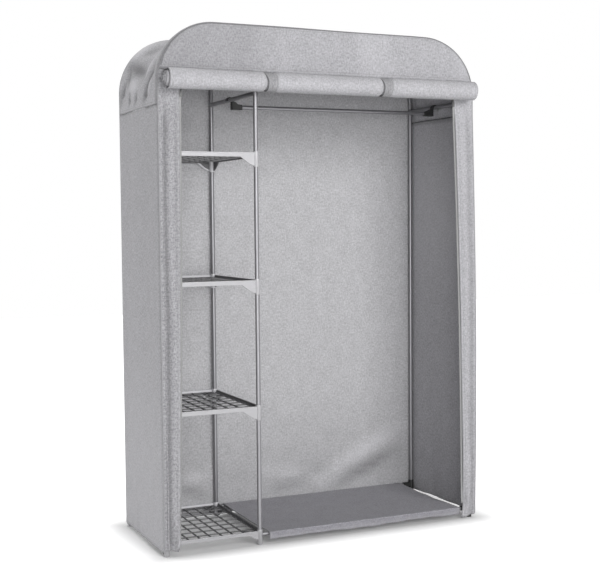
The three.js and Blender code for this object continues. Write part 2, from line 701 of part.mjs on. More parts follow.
// Zip slider: a channel that wraps the tape's edge, with a small bail that the pull tab hangs on.
// Its own z runs along the tape, and away is the side where the door's half of the zip would be.
function addZipSlider(name, side) {
  const away = -side;
  const grip = -away * sliderGrip;
  const slot = clothHalf + fitGap;
  const skin = slot + sliderWall;
  const nose = away * (fitGap + sliderWall);
  const channel = [
    [grip, -skin], [nose, -skin], [nose, skin], [grip, skin],
    [grip, slot], [away * fitGap, slot], [away * fitGap, -slot], [grip, -slot],
  ];
  const middle = (grip + nose) / 2;
  const barY = -(skin + pullEyeRadius + fitGap);
  const barZ = sliderLength / 2;
  const halfEye = pullEyeWidth / 2 + fitGap;
  const halfBar = halfEye + bailLegWidth / 2;
  const legSection = rectangle(barY, barZ - bailLegWidth / 2, -skin + sliderWall / 2, barZ + bailLegWidth / 2);
  const leg = solid(prismX(legSection, -bailLegWidth / 2, bailLegWidth / 2));
  const bar = solid(alongX(rod(bailRadius, middle - halfBar, middle + halfBar, smallSides)));
  const slider = solid(prismZ(channel, 0, sliderLength))
    .add(bar.translate([0, barY, barZ]))
    .add(leg.translate([middle - halfBar, 0, 0]))
    .add(leg.translate([middle + halfBar, 0, 0]));

  const tabTop = -pullEyeRadius / 2;
  const tab = [
    [-pullEyeWidth / 2, tabTop], [pullEyeWidth / 2, tabTop], [pullEyeWidth / 2, -pullNeck],
    [pullWidth / 2, -pullNeck - pullEyeRadius], [pullWidth / 2, -pullLength], [-pullWidth / 2, -pullLength],
    [-pullWidth / 2, -pullNeck - pullEyeRadius], [-pullEyeWidth / 2, -pullNeck],
  ];
  const eye = solid(alongX(rod(pullEyeRadius, -pullEyeWidth / 2, pullEyeWidth / 2, smallSides)));
  const hole = solid(alongX(rod(bailRadius + fitGap, -pullWidth, pullWidth, smallSides)));
  const pull = eye.add(solid(prismY(tab, -pullThickness / 2, pullThickness / 2))).subtract(hole);

  const run = zipEdge(side, zipUpperHeight) - zipEdge(side, zipLowerHeight);
  const station = new THREE.Group();
  station.position.set(zipEdge(side, sliderParkHeight), frontPlane, sliderParkHeight);
  station.rotation.y = Math.atan2(run, zipUpperHeight - zipLowerHeight);
  wardrobe.add(station);
  add(`${name}_zip_slider`, geometryOf(slider), zipMetal, station);
  add(`${name}_zip_pull`, geometryOf(pull), zipMetal, station).position.set(middle, barY, barZ);
}

// Rolled door. Places are (y, z) pairs. An angle is measured about the roll from straight up towards the front.
const seamLine = new THREE.Vector2(-coverOuter - fitGap, headerSeamHeight);

function onRoll(radius, angle) {
  return new THREE.Vector2(rollCentre.x - radius * Math.sin(angle), rollCentre.y + radius * Math.cos(angle));
}

// Where a straight run of cloth from a point meets a circle about the roll, over its top
function touchAngle(point, radius) {
  const arm = point.clone().sub(rollCentre);
  return Math.atan2(-arm.x, arm.y) + Math.acos(radius / arm.length());
}

function doorLine() {
  const outer = rollRadius - clothHalf;
  const start = new THREE.Vector2(seamLine.x, seamLine.y - clothHalf);
  const touch = touchAngle(start, outer);
  const area = Math.PI * (outer * outer - rollCore * rollCore);
  const woundLength = doorLength - start.distanceTo(onRoll(outer, touch));
  const pitch = area / woundLength;
  const turns = (outer - rollCore) / pitch;
  const steps = Math.round(turns * rollStepsPerTurn);
  const points = [start];
  for (let step = 0; step <= steps; step += 1) {
    const turn = turns * (step / steps);
    points.push(onRoll(outer - pitch * turn, touch + 2 * Math.PI * turn));
  }
  return points;
}

// Least clear distance between one turn of the roll and the next, from the points to the next turn's chords
function leastGap(points) {
  const places = points.map((point) => new THREE.Vector3(point.x, point.y, 0));
  const nearest = new THREE.Vector3();
  let least = Infinity;
  for (let k = 1; k + rollStepsPerTurn + 2 < places.length; k += 1) {
    for (let near = k + rollStepsPerTurn - 2; near < k + rollStepsPerTurn + 2; near += 1) {
      const chord = new THREE.Line3(places[near], places[near + 1]);
      chord.closestPointToPoint(places[k], true, nearest);
      least = Math.min(least, nearest.distanceTo(places[k]));
    }
  }
  return least - clothThickness;
}

function addDoor() {
  const line = doorLine();
  console.log(`least gap between turns of the rolled door: ${leastGap(line).toFixed(2)} mm`);
  const roll = prismX(band(line, clothThickness), coverLeft + rollLeftInset, coverRight - rollRightInset);
  const place = roll.attributes.position;
  for (let k = 0; k < place.count; k += 1) {
    const radius = Math.hypot(place.getY(k) - rollCentre.x, place.getZ(k) - rollCentre.y);
    place.setX(k, place.getX(k) - rollTelescope * Math.max(1 - radius / rollRadius, 0));
  }
  add('rolled_door', roll, coverCloth);

  const strapRadius = rollRadius + fitGap + clothHalf;
  const lift = clothThickness + fitGap;
  const touch = touchAngle(line[0], rollRadius - clothHalf);
  const run = onRoll(rollRadius - clothHalf, touch).sub(line[0]).normalize();
  const above = new THREE.Vector2(run.y, -run.x).multiplyScalar(lift);
  const strapStart = line[0].clone().addScaledVector(run, strapSetback).add(above);
  const strapLine = [strapStart];
  for (let step = 0; step <= strapSteps; step += 1) {
    strapLine.push(onRoll(strapRadius, touch + 2 * Math.PI * strapWrapTurn * (step / strapSteps)));
  }
  ['left', 'right'].forEach((name, k) => {
    const centre = postSpacing * strapPlaceShares[k];
    const strap = prismX(band(strapLine, clothThickness), centre - strapWidth / 2, centre + strapWidth / 2);
    add(`${name}_door_strap`, strap, coverCloth);
  });
}

addPosts();
addHoops();
addTees();
addSideRails();
addRightFeet();
addBottomRails();
addShelves();
addHangingRail();
addFloorPanel();
addHood();
addHeader();
addBackPanel();
addSides();
addFrontStrips();
addZipSlider('left', -1);
addZipSlider('right', 1);
addDoor();

// The wardrobe stands over the origin, at the middle of the box round the cover and the rolled door
const boxLeft = coverLeft - leftSwell;
const boxRight = coverRight + rightFlare;
const boxFront = -(rollForward + rollRadius + fitGap + clothThickness);
const boxBack = frameDepth + coverOuter + backSwell;
wardrobe.position.set(-(boxLeft + boxRight) / 2, -(boxFront + boxBack) / 2, 0);

const model = new THREE.Group();
model.add(wardrobe);

export default model;
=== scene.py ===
"""Portable fabric wardrobe, as Blender shows it.

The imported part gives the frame. Around it stand the steel tubes, the moulded shelves, the hanging rail and
the sewn cover, each made here as a surface and each riding on the body that carries it in the part.
Places inside a section are in millimetres from the foot of the left front post: x to the right, y to the
back and z up. They become metres in the shared frame when a mesh is made.
"""

import math

import bmesh
import bpy
import numpy as np
from mathutils import Matrix, Vector


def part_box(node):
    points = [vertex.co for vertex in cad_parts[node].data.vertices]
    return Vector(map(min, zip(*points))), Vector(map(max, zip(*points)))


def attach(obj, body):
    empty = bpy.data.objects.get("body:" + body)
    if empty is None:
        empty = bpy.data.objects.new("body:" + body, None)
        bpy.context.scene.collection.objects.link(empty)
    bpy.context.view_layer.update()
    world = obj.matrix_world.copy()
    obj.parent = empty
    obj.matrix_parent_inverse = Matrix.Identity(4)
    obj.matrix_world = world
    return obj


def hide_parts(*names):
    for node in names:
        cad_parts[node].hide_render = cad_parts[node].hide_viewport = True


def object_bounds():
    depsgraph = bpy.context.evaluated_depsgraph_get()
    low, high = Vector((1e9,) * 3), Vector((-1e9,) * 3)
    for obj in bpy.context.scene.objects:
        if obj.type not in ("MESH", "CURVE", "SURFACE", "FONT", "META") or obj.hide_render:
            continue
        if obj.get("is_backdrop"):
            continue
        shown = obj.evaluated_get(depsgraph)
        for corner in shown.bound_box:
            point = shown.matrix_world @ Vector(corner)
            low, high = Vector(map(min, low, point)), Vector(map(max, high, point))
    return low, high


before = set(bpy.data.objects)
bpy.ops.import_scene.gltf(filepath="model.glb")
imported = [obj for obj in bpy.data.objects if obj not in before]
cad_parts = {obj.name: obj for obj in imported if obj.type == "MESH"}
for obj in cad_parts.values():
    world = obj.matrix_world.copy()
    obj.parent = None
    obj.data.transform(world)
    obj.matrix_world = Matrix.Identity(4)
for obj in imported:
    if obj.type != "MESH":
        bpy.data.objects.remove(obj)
drawn_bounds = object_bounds()
scene = bpy.context.scene

# Camera: stands in front of the left half, a little above the middle shelf, and looks across to the
# right, so that the left side, the open front and the right wall's inner face all show.
camera_place = (-1.63573, -3.54880, 1.03629)
camera_heading = -24.516
camera_dip = 3.309
camera_roll = -0.4857
camera = bpy.data.objects.new("camera", bpy.data.cameras.new("camera"))
camera.data.lens = 69.65
camera.data.sensor_width = 36
camera.matrix_world = (
    Matrix.Translation(camera_place)
    @ Matrix.Rotation(math.radians(camera_heading), 4, "Z")
    @ Matrix.Rotation(math.radians(90 - camera_dip), 4, "X")
    @ Matrix.Rotation(math.radians(camera_roll), 4, "Z")
)
scene.collection.objects.link(camera)
scene.camera = camera

# Posts: drawn steel tube, 14 mm across with a 0.8 mm wall, cut square and coated in satin grey powder. On
# the left half their lengths plug into the shelf collars; a right post stands in a foot.
left_x = 0.0
middle_x = 311.0
right_x = 1096.0
front_y = 0.0
back_y = 399.0
row_places = {"front": front_y, "back": back_y}
tube_radius = 7.0
tube_wall = 0.8
drawing_origin = np.array([553.5, 168.75, 0.0])
x_axis, y_axis, z_axis = np.eye(3)


class Value:
    """A socket that carries a value. Arithmetic on it adds Math nodes, also with a number on the left."""

    def __init__(self, finish, socket):
        self.finish = finish
        self.socket = socket

    def math(self, operation, other=0.0, clamp=False):
        return self.finish.add("Math", {0: self, 1: other}, operation=operation, use_clamp=clamp)

    def reversed_math(self, operation, other):
        return self.finish.add("Math", {0: other, 1: self}, operation=operation)

    def __add__(self, other):
        return self.math("ADD", other)

    def __radd__(self, other):
        return self.reversed_math("ADD", other)

    def __sub__(self, other):
        return self.math("SUBTRACT", other)

    def __rsub__(self, other):
        return self.reversed_math("SUBTRACT", other)

    def __mul__(self, other):
        return self.math("MULTIPLY", other)

    def __rmul__(self, other):
        return self.reversed_math("MULTIPLY", other)

    def __truediv__(self, other):
        return self.math("DIVIDE", other)

    def clipped(self):
        """The value held between 0 and 1."""
        return self.math("ADD", 0.0, clamp=True)

    def near(self, middle, reach):
        """1 where the value is at the middle, falling to 0 where it is a reach away."""
        return (1 - (self - middle).math("ABSOLUTE") / reach).clipped()

    def lines(self, pitch):
        """A sine wave between -1 and 1 along the value, one wave to each pitch."""
        return (self * (2 * math.pi / pitch)).math("SINE")


class Finish:
    """A material, or the world, under construction: its shader and one way to add any other node."""

    def __init__(self, name, store="materials", shader="Principled BSDF", **sockets):
        self.material = getattr(bpy.data, store).new(name)
        self.material.use_nodes = True
        self.tree = self.material.node_tree
        self.shader = self.tree.nodes[shader]
        for socket, value in sockets.items():
            self.shader.inputs[socket.replace("_", " ")].default_value = value

    def add(self, kind, sockets, output=0, stops=(), **settings):
        """A node of one kind: its settings and stops first, then its sockets' values or links. It gives the
        value of one output, or of each where several are named."""
        node = self.tree.nodes.new("ShaderNode" + kind)
        for setting, value in settings.items():
            setattr(node, setting, value)
        for place, (position, colour) in enumerate(stops):
            stop = node.color_ramp.elements[place] if place < 2 else node.color_ramp.elements.new(position)
            stop.position = position
            stop.color = colour
        for socket, value in sockets.items():
            if isinstance(value, Value):
                self.tree.links.new(value.socket, node.inputs[socket])
            else:
                node.inputs[socket].default_value = value
        if isinstance(output, tuple):
            return [Value(self, node.outputs[each]) for each in output]
        return Value(self, node.outputs[output])

    def object_place(self):
        """A place in the piece's own axes, in metres."""
        return self.add("TexCoord", {}, output="Object")

    def weave_place(self):
        """A place on a cloth's flat cut, and its two parts: across and down the cut."""
        place = self.add("UVMap", {}, output="UV", uv_map="weave")
        return place, *self.add("SeparateXYZ", {0: place}, output=("X", "Y"))

    def mix(self, share, first, second):
        """Colour between two colours, by a share from 0 to 1."""
        return self.add("Mix", {0: share, 6: first, 7: second}, output=2, data_type="RGBA")

    def noise(self, vector, scales, detail=2.0, roughness=0.5):
        """Cloudy noise from 0 to 1, with as many clouds to a unit of the vector as the scales say."""
        scaled = self.add("VectorMath", {0: vector, 1: scales}, operation="MULTIPLY")
        sockets = {"Vector": scaled, "Scale": 1.0, "Detail": detail, "Roughness": roughness}
        return self.add("TexNoise", sockets)

    def uneven(self, height, distance, strength=1.0):
        """Puts a bump of a height, from 0 to 1, times a distance in metres, on the shader."""
        sockets = {"Strength": strength, "Distance": distance, "Height": height}
        self.wire("Normal", self.add("Bump", sockets, output="Normal"))

    def wire(self, socket, value):
        """Links a value to a socket of the shader."""
        self.tree.links.new(value.socket, self.shader.inputs[socket])


def grey(level, cool=0.0):
    """A near grey whose blue stands above its green by a share, and its red by a fifth of that share."""
    return (level * (1 + cool / 5), level, level * (1 + cool), 1.0)


def powder_coat():
    """Satin grey powder over steel: fine orange peel, soft clouding, and scuffs that shine a little more."""
    finish = Finish("grey_powder_coat", Metallic=0.6, Coat_Weight=0.12, Coat_Roughness=0.25)
    place = finish.object_place()
    peel = finish.noise(place, (900, 900, 900), 2)
    cloud = finish.noise(place, (40, 40, 9), 3)
    scratches = finish.noise(place, (260, 260, 30), 4, 0.65)
    scuff = finish.add("ValToRGB", {0: scratches}, stops=[(0.62, (0, 0, 0, 1)), (0.74, (1, 1, 1, 1))])
    base = finish.mix((cloud * 0.7 + peel * 0.3).clipped(), grey(0.20, 0.05), grey(0.30, 0.05))
    finish.wire("Base Color", finish.mix(scuff * 0.25, base, grey(0.42)))
    finish.wire("Roughness", 0.38 - scuff * 0.1 + (peel - 0.5) * 0.12)
    finish.uneven(peel, 0.00012, 0.5)
    return finish.material


def skin(name, *grids, uv=None, closed=True, crisp=38, **measures):
    """A mesh on grids of places. Face (i, j) joins the places (i, j), (i + 1, j), (i + 1, j + 1) and
    (i, j + 1) of its grid. Places that meet are merged, which closes seams and poles. A measure gives a
    number to each place, under its own name."""
    faces = []
    first = 0
    for grid in grids:
        corner = first + np.arange(grid.shape[0] * grid.shape[1]).reshape(grid.shape[:2])
        quads = np.stack([corner[:-1, :-1], corner[1:, :-1], corner[1:, 1:], corner[:-1, 1:]], -1)
        faces.append(quads.reshape(-1, 4))
        first += corner.size
    faces = np.concatenate(faces)
    places = (np.concatenate([grid.reshape(-1, 3) for grid in grids]) - drawing_origin) / 1000
    mesh = bpy.data.meshes.new(name)
    mesh.from_pydata(places.tolist(), [], faces.tolist())
    if uv is not None:
        corners = (uv.reshape(-1, 2) / 1000)[faces.ravel()]
        mesh.uv_layers.new(name="weave").data.foreach_set("uv", corners.ravel())
    for measure, values in measures.items():
        values = np.broadcast_to(values, grids[0].shape[:2])
        mesh.attributes.new(measure, "FLOAT", "POINT").data.foreach_set("value", values.ravel())
    work = bmesh.new()
    work.from_mesh(mesh)
    bmesh.ops.remove_doubles(work, verts=work.verts, dist=2e-6)
    if closed:
        bmesh.ops.holes_fill(work, edges=work.edges, sides=0)
        bmesh.ops.recalc_face_normals(work, faces=work.faces)
    work.to_mesh(mesh)
    work.free()
    mesh.shade_smooth()
    mesh.set_sharp_from_angle(angle=math.radians(crisp))
    piece = bpy.data.objects.new(name, mesh)
    scene.collection.objects.link(piece)
    return piece


def round_ring(first, second, sides):
    """Directions all the way round: cos(angle) * first + sin(angle) * second."""
    angle = np.linspace(0, 2 * np.pi, sides + 1)[:, None]
    return np.cos(angle) * first + np.sin(angle) * second


def cut_tube(outer, bore, base, axis, low, high, sides=32, edge=0.4):
    """A tube wall with shaped ends, its rings square to the axis. The wall runs from the bore over the low
    end, up the outside, over the high end and back: place = base + radius * ring + height * axis. An end's
    height may depend on radius * ring."""
    first = axis[[1, 2, 0]]
    radii = [bore, outer - edge, outer, outer, outer - edge, bore, bore]
    rings = np.array(radii)[:, None, None] * round_ring(first, np.cross(axis, first), sides)
    lows = np.broadcast_to(low(rings) if callable(low) else low, rings.shape[:2])
    highs = np.broadcast_to(high(rings) if callable(high) else high, rings.shape[:2])
    at_low = np.array([1, 1, 1, 0, 0, 0, 1], bool)[:, None]
    inset = np.array([0, 0, edge, -edge, 0, 0, 0])[:, None]
    height = np.where(at_low, lows, highs) + inset
    return np.array(base, float) + rings + height[..., None] * axis


def fit(piece, finish, slot, *nodes, body="frame"):
    """Gives a piece its finish, its body and the drawn nodes that it stands for. The slot is not used."""
    piece.data.materials.append(finish)
    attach(piece, body)
    if nodes:
        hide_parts(*nodes)
    return piece


def drawn(node):
    """Lowest and highest corner of a drawn node, in the wardrobe's millimetres."""
    low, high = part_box(node)
    return np.array(low) * 1000 + drawing_origin, np.array(high) * 1000 + drawing_origin


coated_steel = powder_coat()


def coated_tube(name, node, base, axis, low, high, radius=tube_radius, body="frame"):
    """A length of coated steel tube, fitted for its drawn node."""
    wall = cut_tube(radius, radius - tube_wall, base, axis, low, high)
    fit(skin(name, wall), coated_steel, "tube_steel", node, body=body)


for row, y in row_places.items():
    posts = [(f"{side}_{row}_post_{part}", x) for side, x in (("left", left_x), ("middle", middle_x))
             for part in ("lower", "centre", "upper")]
    posts += [(f"middle_{row}_post_top", middle_x), (f"right_{row}_post", right_x)]
    for node, x in posts:
        low, high = drawn(node)
        coated_tube(node + "_tube", node, (x, y, 0), z_axis, low[2], high[2])

# Roof hoops: the same tube, bent cold at each end of the roof to a radius of 175 mm, with a straight roof
# rail between the two bends. The bends' reduced ends plug into the rail and into the right posts.
roof_z = 1626.0
hoop_radius = 175.0
spring_z = roof_z - hoop_radius
hoop_leg = 6.0
plug_radius = 5.9
plug_length = 25.0
plug_gap = 0.3
end_round = 0.4
upper_socket_z = 1229.3
right_joint_z = 720.3


def joined(*numbers):
    """Places, or flat places, from their separate numbers."""
    return np.stack(np.broadcast_arrays(*numbers), -1)


def hoop_corner(post_x, inward, y, foot, plugged):
    """A hoop's corner. Its centreline climbs from the foot to the spring, turns by a quarter circle about
    (post + inward * radius, spring) and runs on for the leg. place = centreline + radius(s) * (cos(angle) *
    out(s) + sin(angle) * back), where out(s) points away from the bend's centre."""
    bend = np.linspace(0, np.pi / 2, 19)
    climb = [foot, foot, foot + end_round]
    start = [0, tube_radius - end_round, tube_radius]
    if plugged:
        climb = [foot - plug_length, foot - plug_length, foot - 0.01, foot, foot + end_round]
        start = [0, plug_radius, plug_radius, tube_radius - end_round, tube_radius]
    legs = hoop_leg + np.array([-end_round, 0, 0.01, plug_length, plug_length])
    end = [tube_radius, tube_radius - end_round, plug_radius, plug_radius, 0]
    x = np.concatenate([0 * np.array(climb), hoop_radius * (1 - np.cos(bend)), hoop_radius + legs])
    z = np.concatenate([climb, spring_z + hoop_radius * np.sin(bend), np.full(len(legs), roof_z)])
    turn = np.concatenate([0 * np.array(climb), bend, np.full(len(legs), np.pi / 2)])
    radius = np.concatenate([start, np.full(len(bend), tube_radius), end])
    out = joined(-np.cos(turn) * inward, 0, np.sin(turn))
    centre = joined(post_x + inward * x, y, z)
    return centre[:, None] + radius[:, None, None] * round_ring(out[:, None], y_axis, 28)


corners = (("left", left_x, 1, upper_socket_z), ("right", right_x, -1, right_joint_z))
for row, y in row_places.items():
    for side, x, inward, foot in corners:
        corner = hoop_corner(x, inward, y, foot, side == "right")
        bend = skin(f"{side}_{row}_hoop_bend", corner)
        fit(bend, coated_steel, "tube_steel", f"{side}_{row}_hoop_corner")
    start = hoop_radius + hoop_leg + plug_gap
    coated_tube(f"{row}_roof_tube", f"{row}_roof_rail", (0, y, roof_z), x_axis, start, right_x - start)

# Side rails: tube from the front posts to the back posts, coped at both ends so that it saddles them.
# Bottom rails: 12 mm tube, coped on to a collar of the lowest shelf, with its other end in a right foot.
side_rail_z = spring_z - 22.0
bottom_rail_z = 32.0
bottom_rail_radius = 6.0
cope_radius = 7.3
shelf_collar_radius = 9.0
foot_reach = 10.3


def saddle(component, radius):
    """Height of a round post's face above its axis, at a distance to one side of it: the square root of
    the radius squared less the distance squared."""
    return lambda ring: np.sqrt(radius**2 - ring[..., component] ** 2)


cope = saddle(0, cope_radius)
for side, x in (("left", left_x), ("middle", middle_x), ("right", right_x)):
    coated_tube(f"{side}_side_tube", f"{side}_side_rail", (x, 0, side_rail_z), y_axis,
                cope, lambda ring: back_y - cope(ring))
for row, y in row_places.items():
    coated_tube(f"{row}_bottom_tube", f"{row}_bottom_rail", (middle_x, y, bottom_rail_z), x_axis,
                saddle(1, shelf_collar_radius), right_x - middle_x - foot_reach, bottom_rail_radius)

# Tees and right feet: moulded in black plastic. A tee's sleeve slides on the roof rail and its stem takes
# the middle post; a foot is a cup with a sole for the right post and a socket for the bottom rail.
tee_radius = 10.0
collar_bore = 7.3
sleeve_half = 22.0
stem_length = 36.0
cup_radius = 8.9
cup_height = 49.0
sole_height = 6.0
socket_radius = 8.3
socket_bore = 6.3
socket_length = 34.0
moulded_edge = 0.8
branch_end = 8.6


def moulded_plastic(name, deep, pale, roughness, grain, painted_shading_share=0.0, **sockets):
    """Moulded plastic: a fine spark-eroded grain, soft flow clouding, a slightly duller patch here and
    there, painted shade that darkens it and makes it rougher towards the floor, and a painted highlight
    that makes it paler at the back."""
    finish = Finish(name, **sockets)
    place = finish.object_place()
    fine = finish.noise(place, (grain, grain, grain), 2)
    flow = finish.noise(place, (22, 22, 60), 3)
    back, height = finish.add("SeparateXYZ", {0: place}, output=("Y", "Z"))
    # Painted shade: darker and rougher towards the floor.
    floor_shade = ((0.75 - height) * 1.4).clipped() * painted_shading_share * (0.7 + flow * 0.6)
    base = finish.mix((flow * 0.8 + fine * 0.2).clipped(), deep, pale)
    base = finish.mix(floor_shade.clipped(), base, grey(0.30, 0.04))
    # Painted highlight: paler towards the back.
    behind = ((back - 0.2) * 30).clipped() * painted_shading_share
    finish.wire("Base Color", finish.mix(behind, base, grey(0.9, 0.04)))
    finish.wire("Roughness", roughness + (flow - 0.5) * 0.16 + (fine - 0.5) * 0.1 + floor_shade * 0.3)
    finish.uneven(fine, 0.00008, 0.5)
    return finish.material


def under_sleeve(ring):
    """Where a tee's stem ends, inside its sleeve's wall: as a saddle, but below the axis."""
    return -np.sqrt(np.maximum(branch_end**2 - ring[..., 1] ** 2, 0))


black_plastic = moulded_plastic("black_plastic", grey(0.018), grey(0.034), 0.42, 1400)
for row, y in row_places.items():
    tee = (middle_x, y, roof_z)
    sleeve = cut_tube(tee_radius, collar_bore, tee, x_axis, -sleeve_half, sleeve_half, edge=moulded_edge)
    stem = cut_tube(tee_radius, collar_bore, tee, z_axis, -stem_length, under_sleeve, edge=moulded_edge)
    piece = skin(f"middle_{row}_tee_moulding", sleeve, stem)
    fit(piece, black_plastic, "black_plastic", f"middle_{row}_tee")
    foot = np.array([right_x, y, 0])
    cup = cut_tube(cup_radius, collar_bore, foot, z_axis, 0, cup_height, edge=moulded_edge)
    sole = cut_tube(collar_bore + 0.6, 0, foot, z_axis, 0.2, sole_height, edge=0.3)
    branch = foot + bottom_rail_z * z_axis
    socket = cut_tube(socket_radius, socket_bore, branch, x_axis, -socket_length, -branch_end, edge=0.6)
    piece = skin(f"right_{row}_foot_moulding", cup, sole, socket)
    fit(piece, black_plastic, "black_plastic", f"right_{row}_foot")

# Shelves: pale front and back bars with the four post collars, and between them a dark grid whose side
# bars and corner webs are of one moulding with it. The lowest shelf's collars are its feet.
shelf_names = ("bottom", "lower", "middle", "upper")
first_rim_z = 45.0
shelf_pitch = 400.0
grid_top = -7.0
grid_bottom = -12.0
grid_pitch = (37.0, 48.0)
long_rib = 2.3
cross_rib = 1.7
ledge = 3.4
ledge_end = 9.4
post_corners = ((0, 0), (middle_x, 0), (middle_x, back_y), (0, back_y))


def apron(start, along, inward, span, reach=44.0, drop=41.0, height=14.0):
    """A bar between two collars, with gussets. Its lower edge hangs by the height, and by more within the
    reach of a collar: drop - (drop - height) * (run / reach) to the power 1.3. A profile of (inward, up)
    pairs from that edge over the beaded lip is carried along the span."""
    near = 10 + reach * np.linspace(0, 1, 10)
    run = np.concatenate([[7.6], near, np.linspace(60, span - 60, 9), span - near[::-1], [span - 7.6]])
    share = np.clip((np.minimum(run, span - run) - 10) / reach, 0, 1)
    low = -drop + (drop - height) * share**1.3
    profile = np.array([
        (0.5, 0, 1), (0, 0.5, 1), (0, -3.4, 0), (-0.9, -2.6, 0), (-1.1, -1.2, 0), (-0.6, -0.2, 0),
        (0, 0, 0), (3.5, 0, 0), (4, -0.5, 0), (4, 0.5, 1), (3.5, 0, 1), (0.5, 0, 1),
    ])
    up = profile[:, 1] + profile[:, 2] * low[:, None]
    place = start + run[:, None, None] * along + profile[None, :, 0, None] * inward
    return place + up[..., None] * z_axis


def bar(start, end, width, top=grid_top):
    """A straight moulded bar with a crowned top: an eight-sided section carried from start to end, and
    drawn to a point inside what it runs into."""
    start = np.array([*start, 0.0])
    end = np.array([*end, 0.0])
    heading = (end - start) / np.linalg.norm(end - start)
    side = np.array([-heading[1], heading[0], 0])
    across = np.array([-0.5, -0.5, -0.3, 0, 0.3, 0.5, 0.5, 0, -0.5]) * width
    crown = np.array([top - 0.7, top - 0.1, top, top - 0.1, top - 0.7])
    up = np.concatenate([[grid_bottom], crown, [grid_bottom] * 3])
    section = across[:, None] * side + up[:, None] * z_axis
    point = (top + grid_bottom) / 2 * z_axis + 0 * section
    return np.stack([start + point, start + section, end + section, end + point])


def arc_rib(x, y, radius, first_angle, last_angle, width):
    """A curved rib about a collar: the section of a bar carried along an arc."""
    angle = np.linspace(first_angle, last_angle, 12)[:, None]
    across = radius + np.array([-0.5, -0.5, 0, 0.5, 0.5, -0.5]) * width
    up = np.array([grid_bottom, grid_top - 0.5, grid_top, grid_top - 0.5, grid_bottom, grid_bottom])
    return joined(x + across * np.cos(angle), y + across * np.sin(angle), up)


def collar(x, y, open_below):
    """A post collar turned about its post: a bore 20 mm deep from the top, a web, and on all but the lowest
    shelf a bore of the same depth from below."""
    below = [(0, -44.6), (6.4, -44.6), (7.2, -45)]
    if open_below:
        below = [(0, -25), (collar_bore, -25), (collar_bore, -44.2), (8.0, -45)]
    outside = [(8.4, -45), (shelf_collar_radius, -44.2), (8.7, -6), (9.2, -3.6), (9.2, 3.2), (8.7, 4)]
    bore = [(8.0, 4), (collar_bore, 3.3), (collar_bore, -16), (0, -16)]
    radius, height = np.array(below + outside + bore, float).T
    rings = radius[:, None, None] * round_ring(x_axis, y_axis, 32)
    return np.array([x, y, 0.0]) + rings + height[:, None, None] * z_axis


def shelf_bars(open_below):
    """The front and back bars, slighter on the lowest shelf, and the four collars."""
    shape = {} if open_below else {"reach": 26.0, "drop": 27.0, "height": 12.0}
    bars = [apron((0, -tube_radius, 0), x_axis, y_axis, middle_x, **shape),
            apron((0, back_y + tube_radius, 0), x_axis, -y_axis, middle_x, **shape)]
    return bars + [collar(x, y, open_below) for x, y in post_corners]


def shelf_grid():
    """The side bars, a web before the back bar's gussets, a ledge inside each of the four bars, seven ribs
    each way, and at each corner two curved ribs and a spoke."""
    parts = [apron((-tube_radius, 0, 0), y_axis, x_axis, back_y),
             apron((middle_x + tube_radius, 0, 0), y_axis, -x_axis, back_y),
             apron((0, back_y + tube_radius - 4.5, grid_bottom), x_axis, -y_axis, middle_x, 34, 25, 1)]
    for step in range(-3, 4):
        x = middle_x / 2 + grid_pitch[0] * step
        y = back_y / 2 + grid_pitch[1] * step
        parts.append(bar((x, -2), (x, back_y + 2), long_rib))
        parts.append(bar((-2, y), (middle_x + 2, y), cross_rib, grid_top - 0.4))
    for y in (-1, back_y + 1):
        parts.append(bar((ledge_end, y), (middle_x - ledge_end, y), ledge, grid_top + 0.3))
    for x in (-1, middle_x + 1):
        parts.append(bar((x, ledge_end), (x, back_y - ledge_end), ledge, grid_top + 0.3))
    for quarter, corner in enumerate(post_corners):
        turn = quarter * np.pi / 2
        for radius, past, width in ((20, 0.1, 4.5), (32, 0.08, 3.2)):
            parts.append(arc_rib(*corner, radius, turn - past, turn + np.pi / 2 + past, width))
        out = np.array([np.cos(turn + np.pi / 4), np.sin(turn + np.pi / 4)])
        parts.append(bar(corner + 9 * out, corner + 58 * out, ledge))
    return parts


pale_plastic = moulded_plastic("pale_plastic", grey(0.41, 0.04), grey(0.52, 0.04), 0.3, 1100, 0.6,
                               Coat_Weight=1.0, Coat_Roughness=0.25)
dark_plastic = moulded_plastic("dark_plastic", grey(0.085, 0.04), grey(0.15, 0.04), 0.45, 1100)
for place, name in enumerate(shelf_names):
    lift = (first_rim_z + shelf_pitch * place) * z_axis
    bars = skin(f"{name}_shelf_moulding", *[part + lift for part in shelf_bars(place > 0)])
    fit(bars, pale_plastic, "shelf_plastic", f"{name}_shelf")
    grid = skin(f"{name}_shelf_grid_moulding", *[part + lift for part in shelf_grid()])
    fit(grid, dark_plastic, "shelf_plastic", f"{name}_shelf_grid")

# Hanging rail: 13 mm tube whose ends stand in two black hook brackets. Each bracket saddles a side rail, so
# the rail lifts off and slides to the front or back.
rail_radius = 6.5
rail_y = 226.0
rail_z = side_rail_z - 22.0
hook_inner = 7.3
hook_outer = hook_inner + 2.5
hook_end = hook_inner + 36.0
hook_half = 9.0
hook_round = 0.7
mouth_radius = 7.4
mouth_bore = 6.6


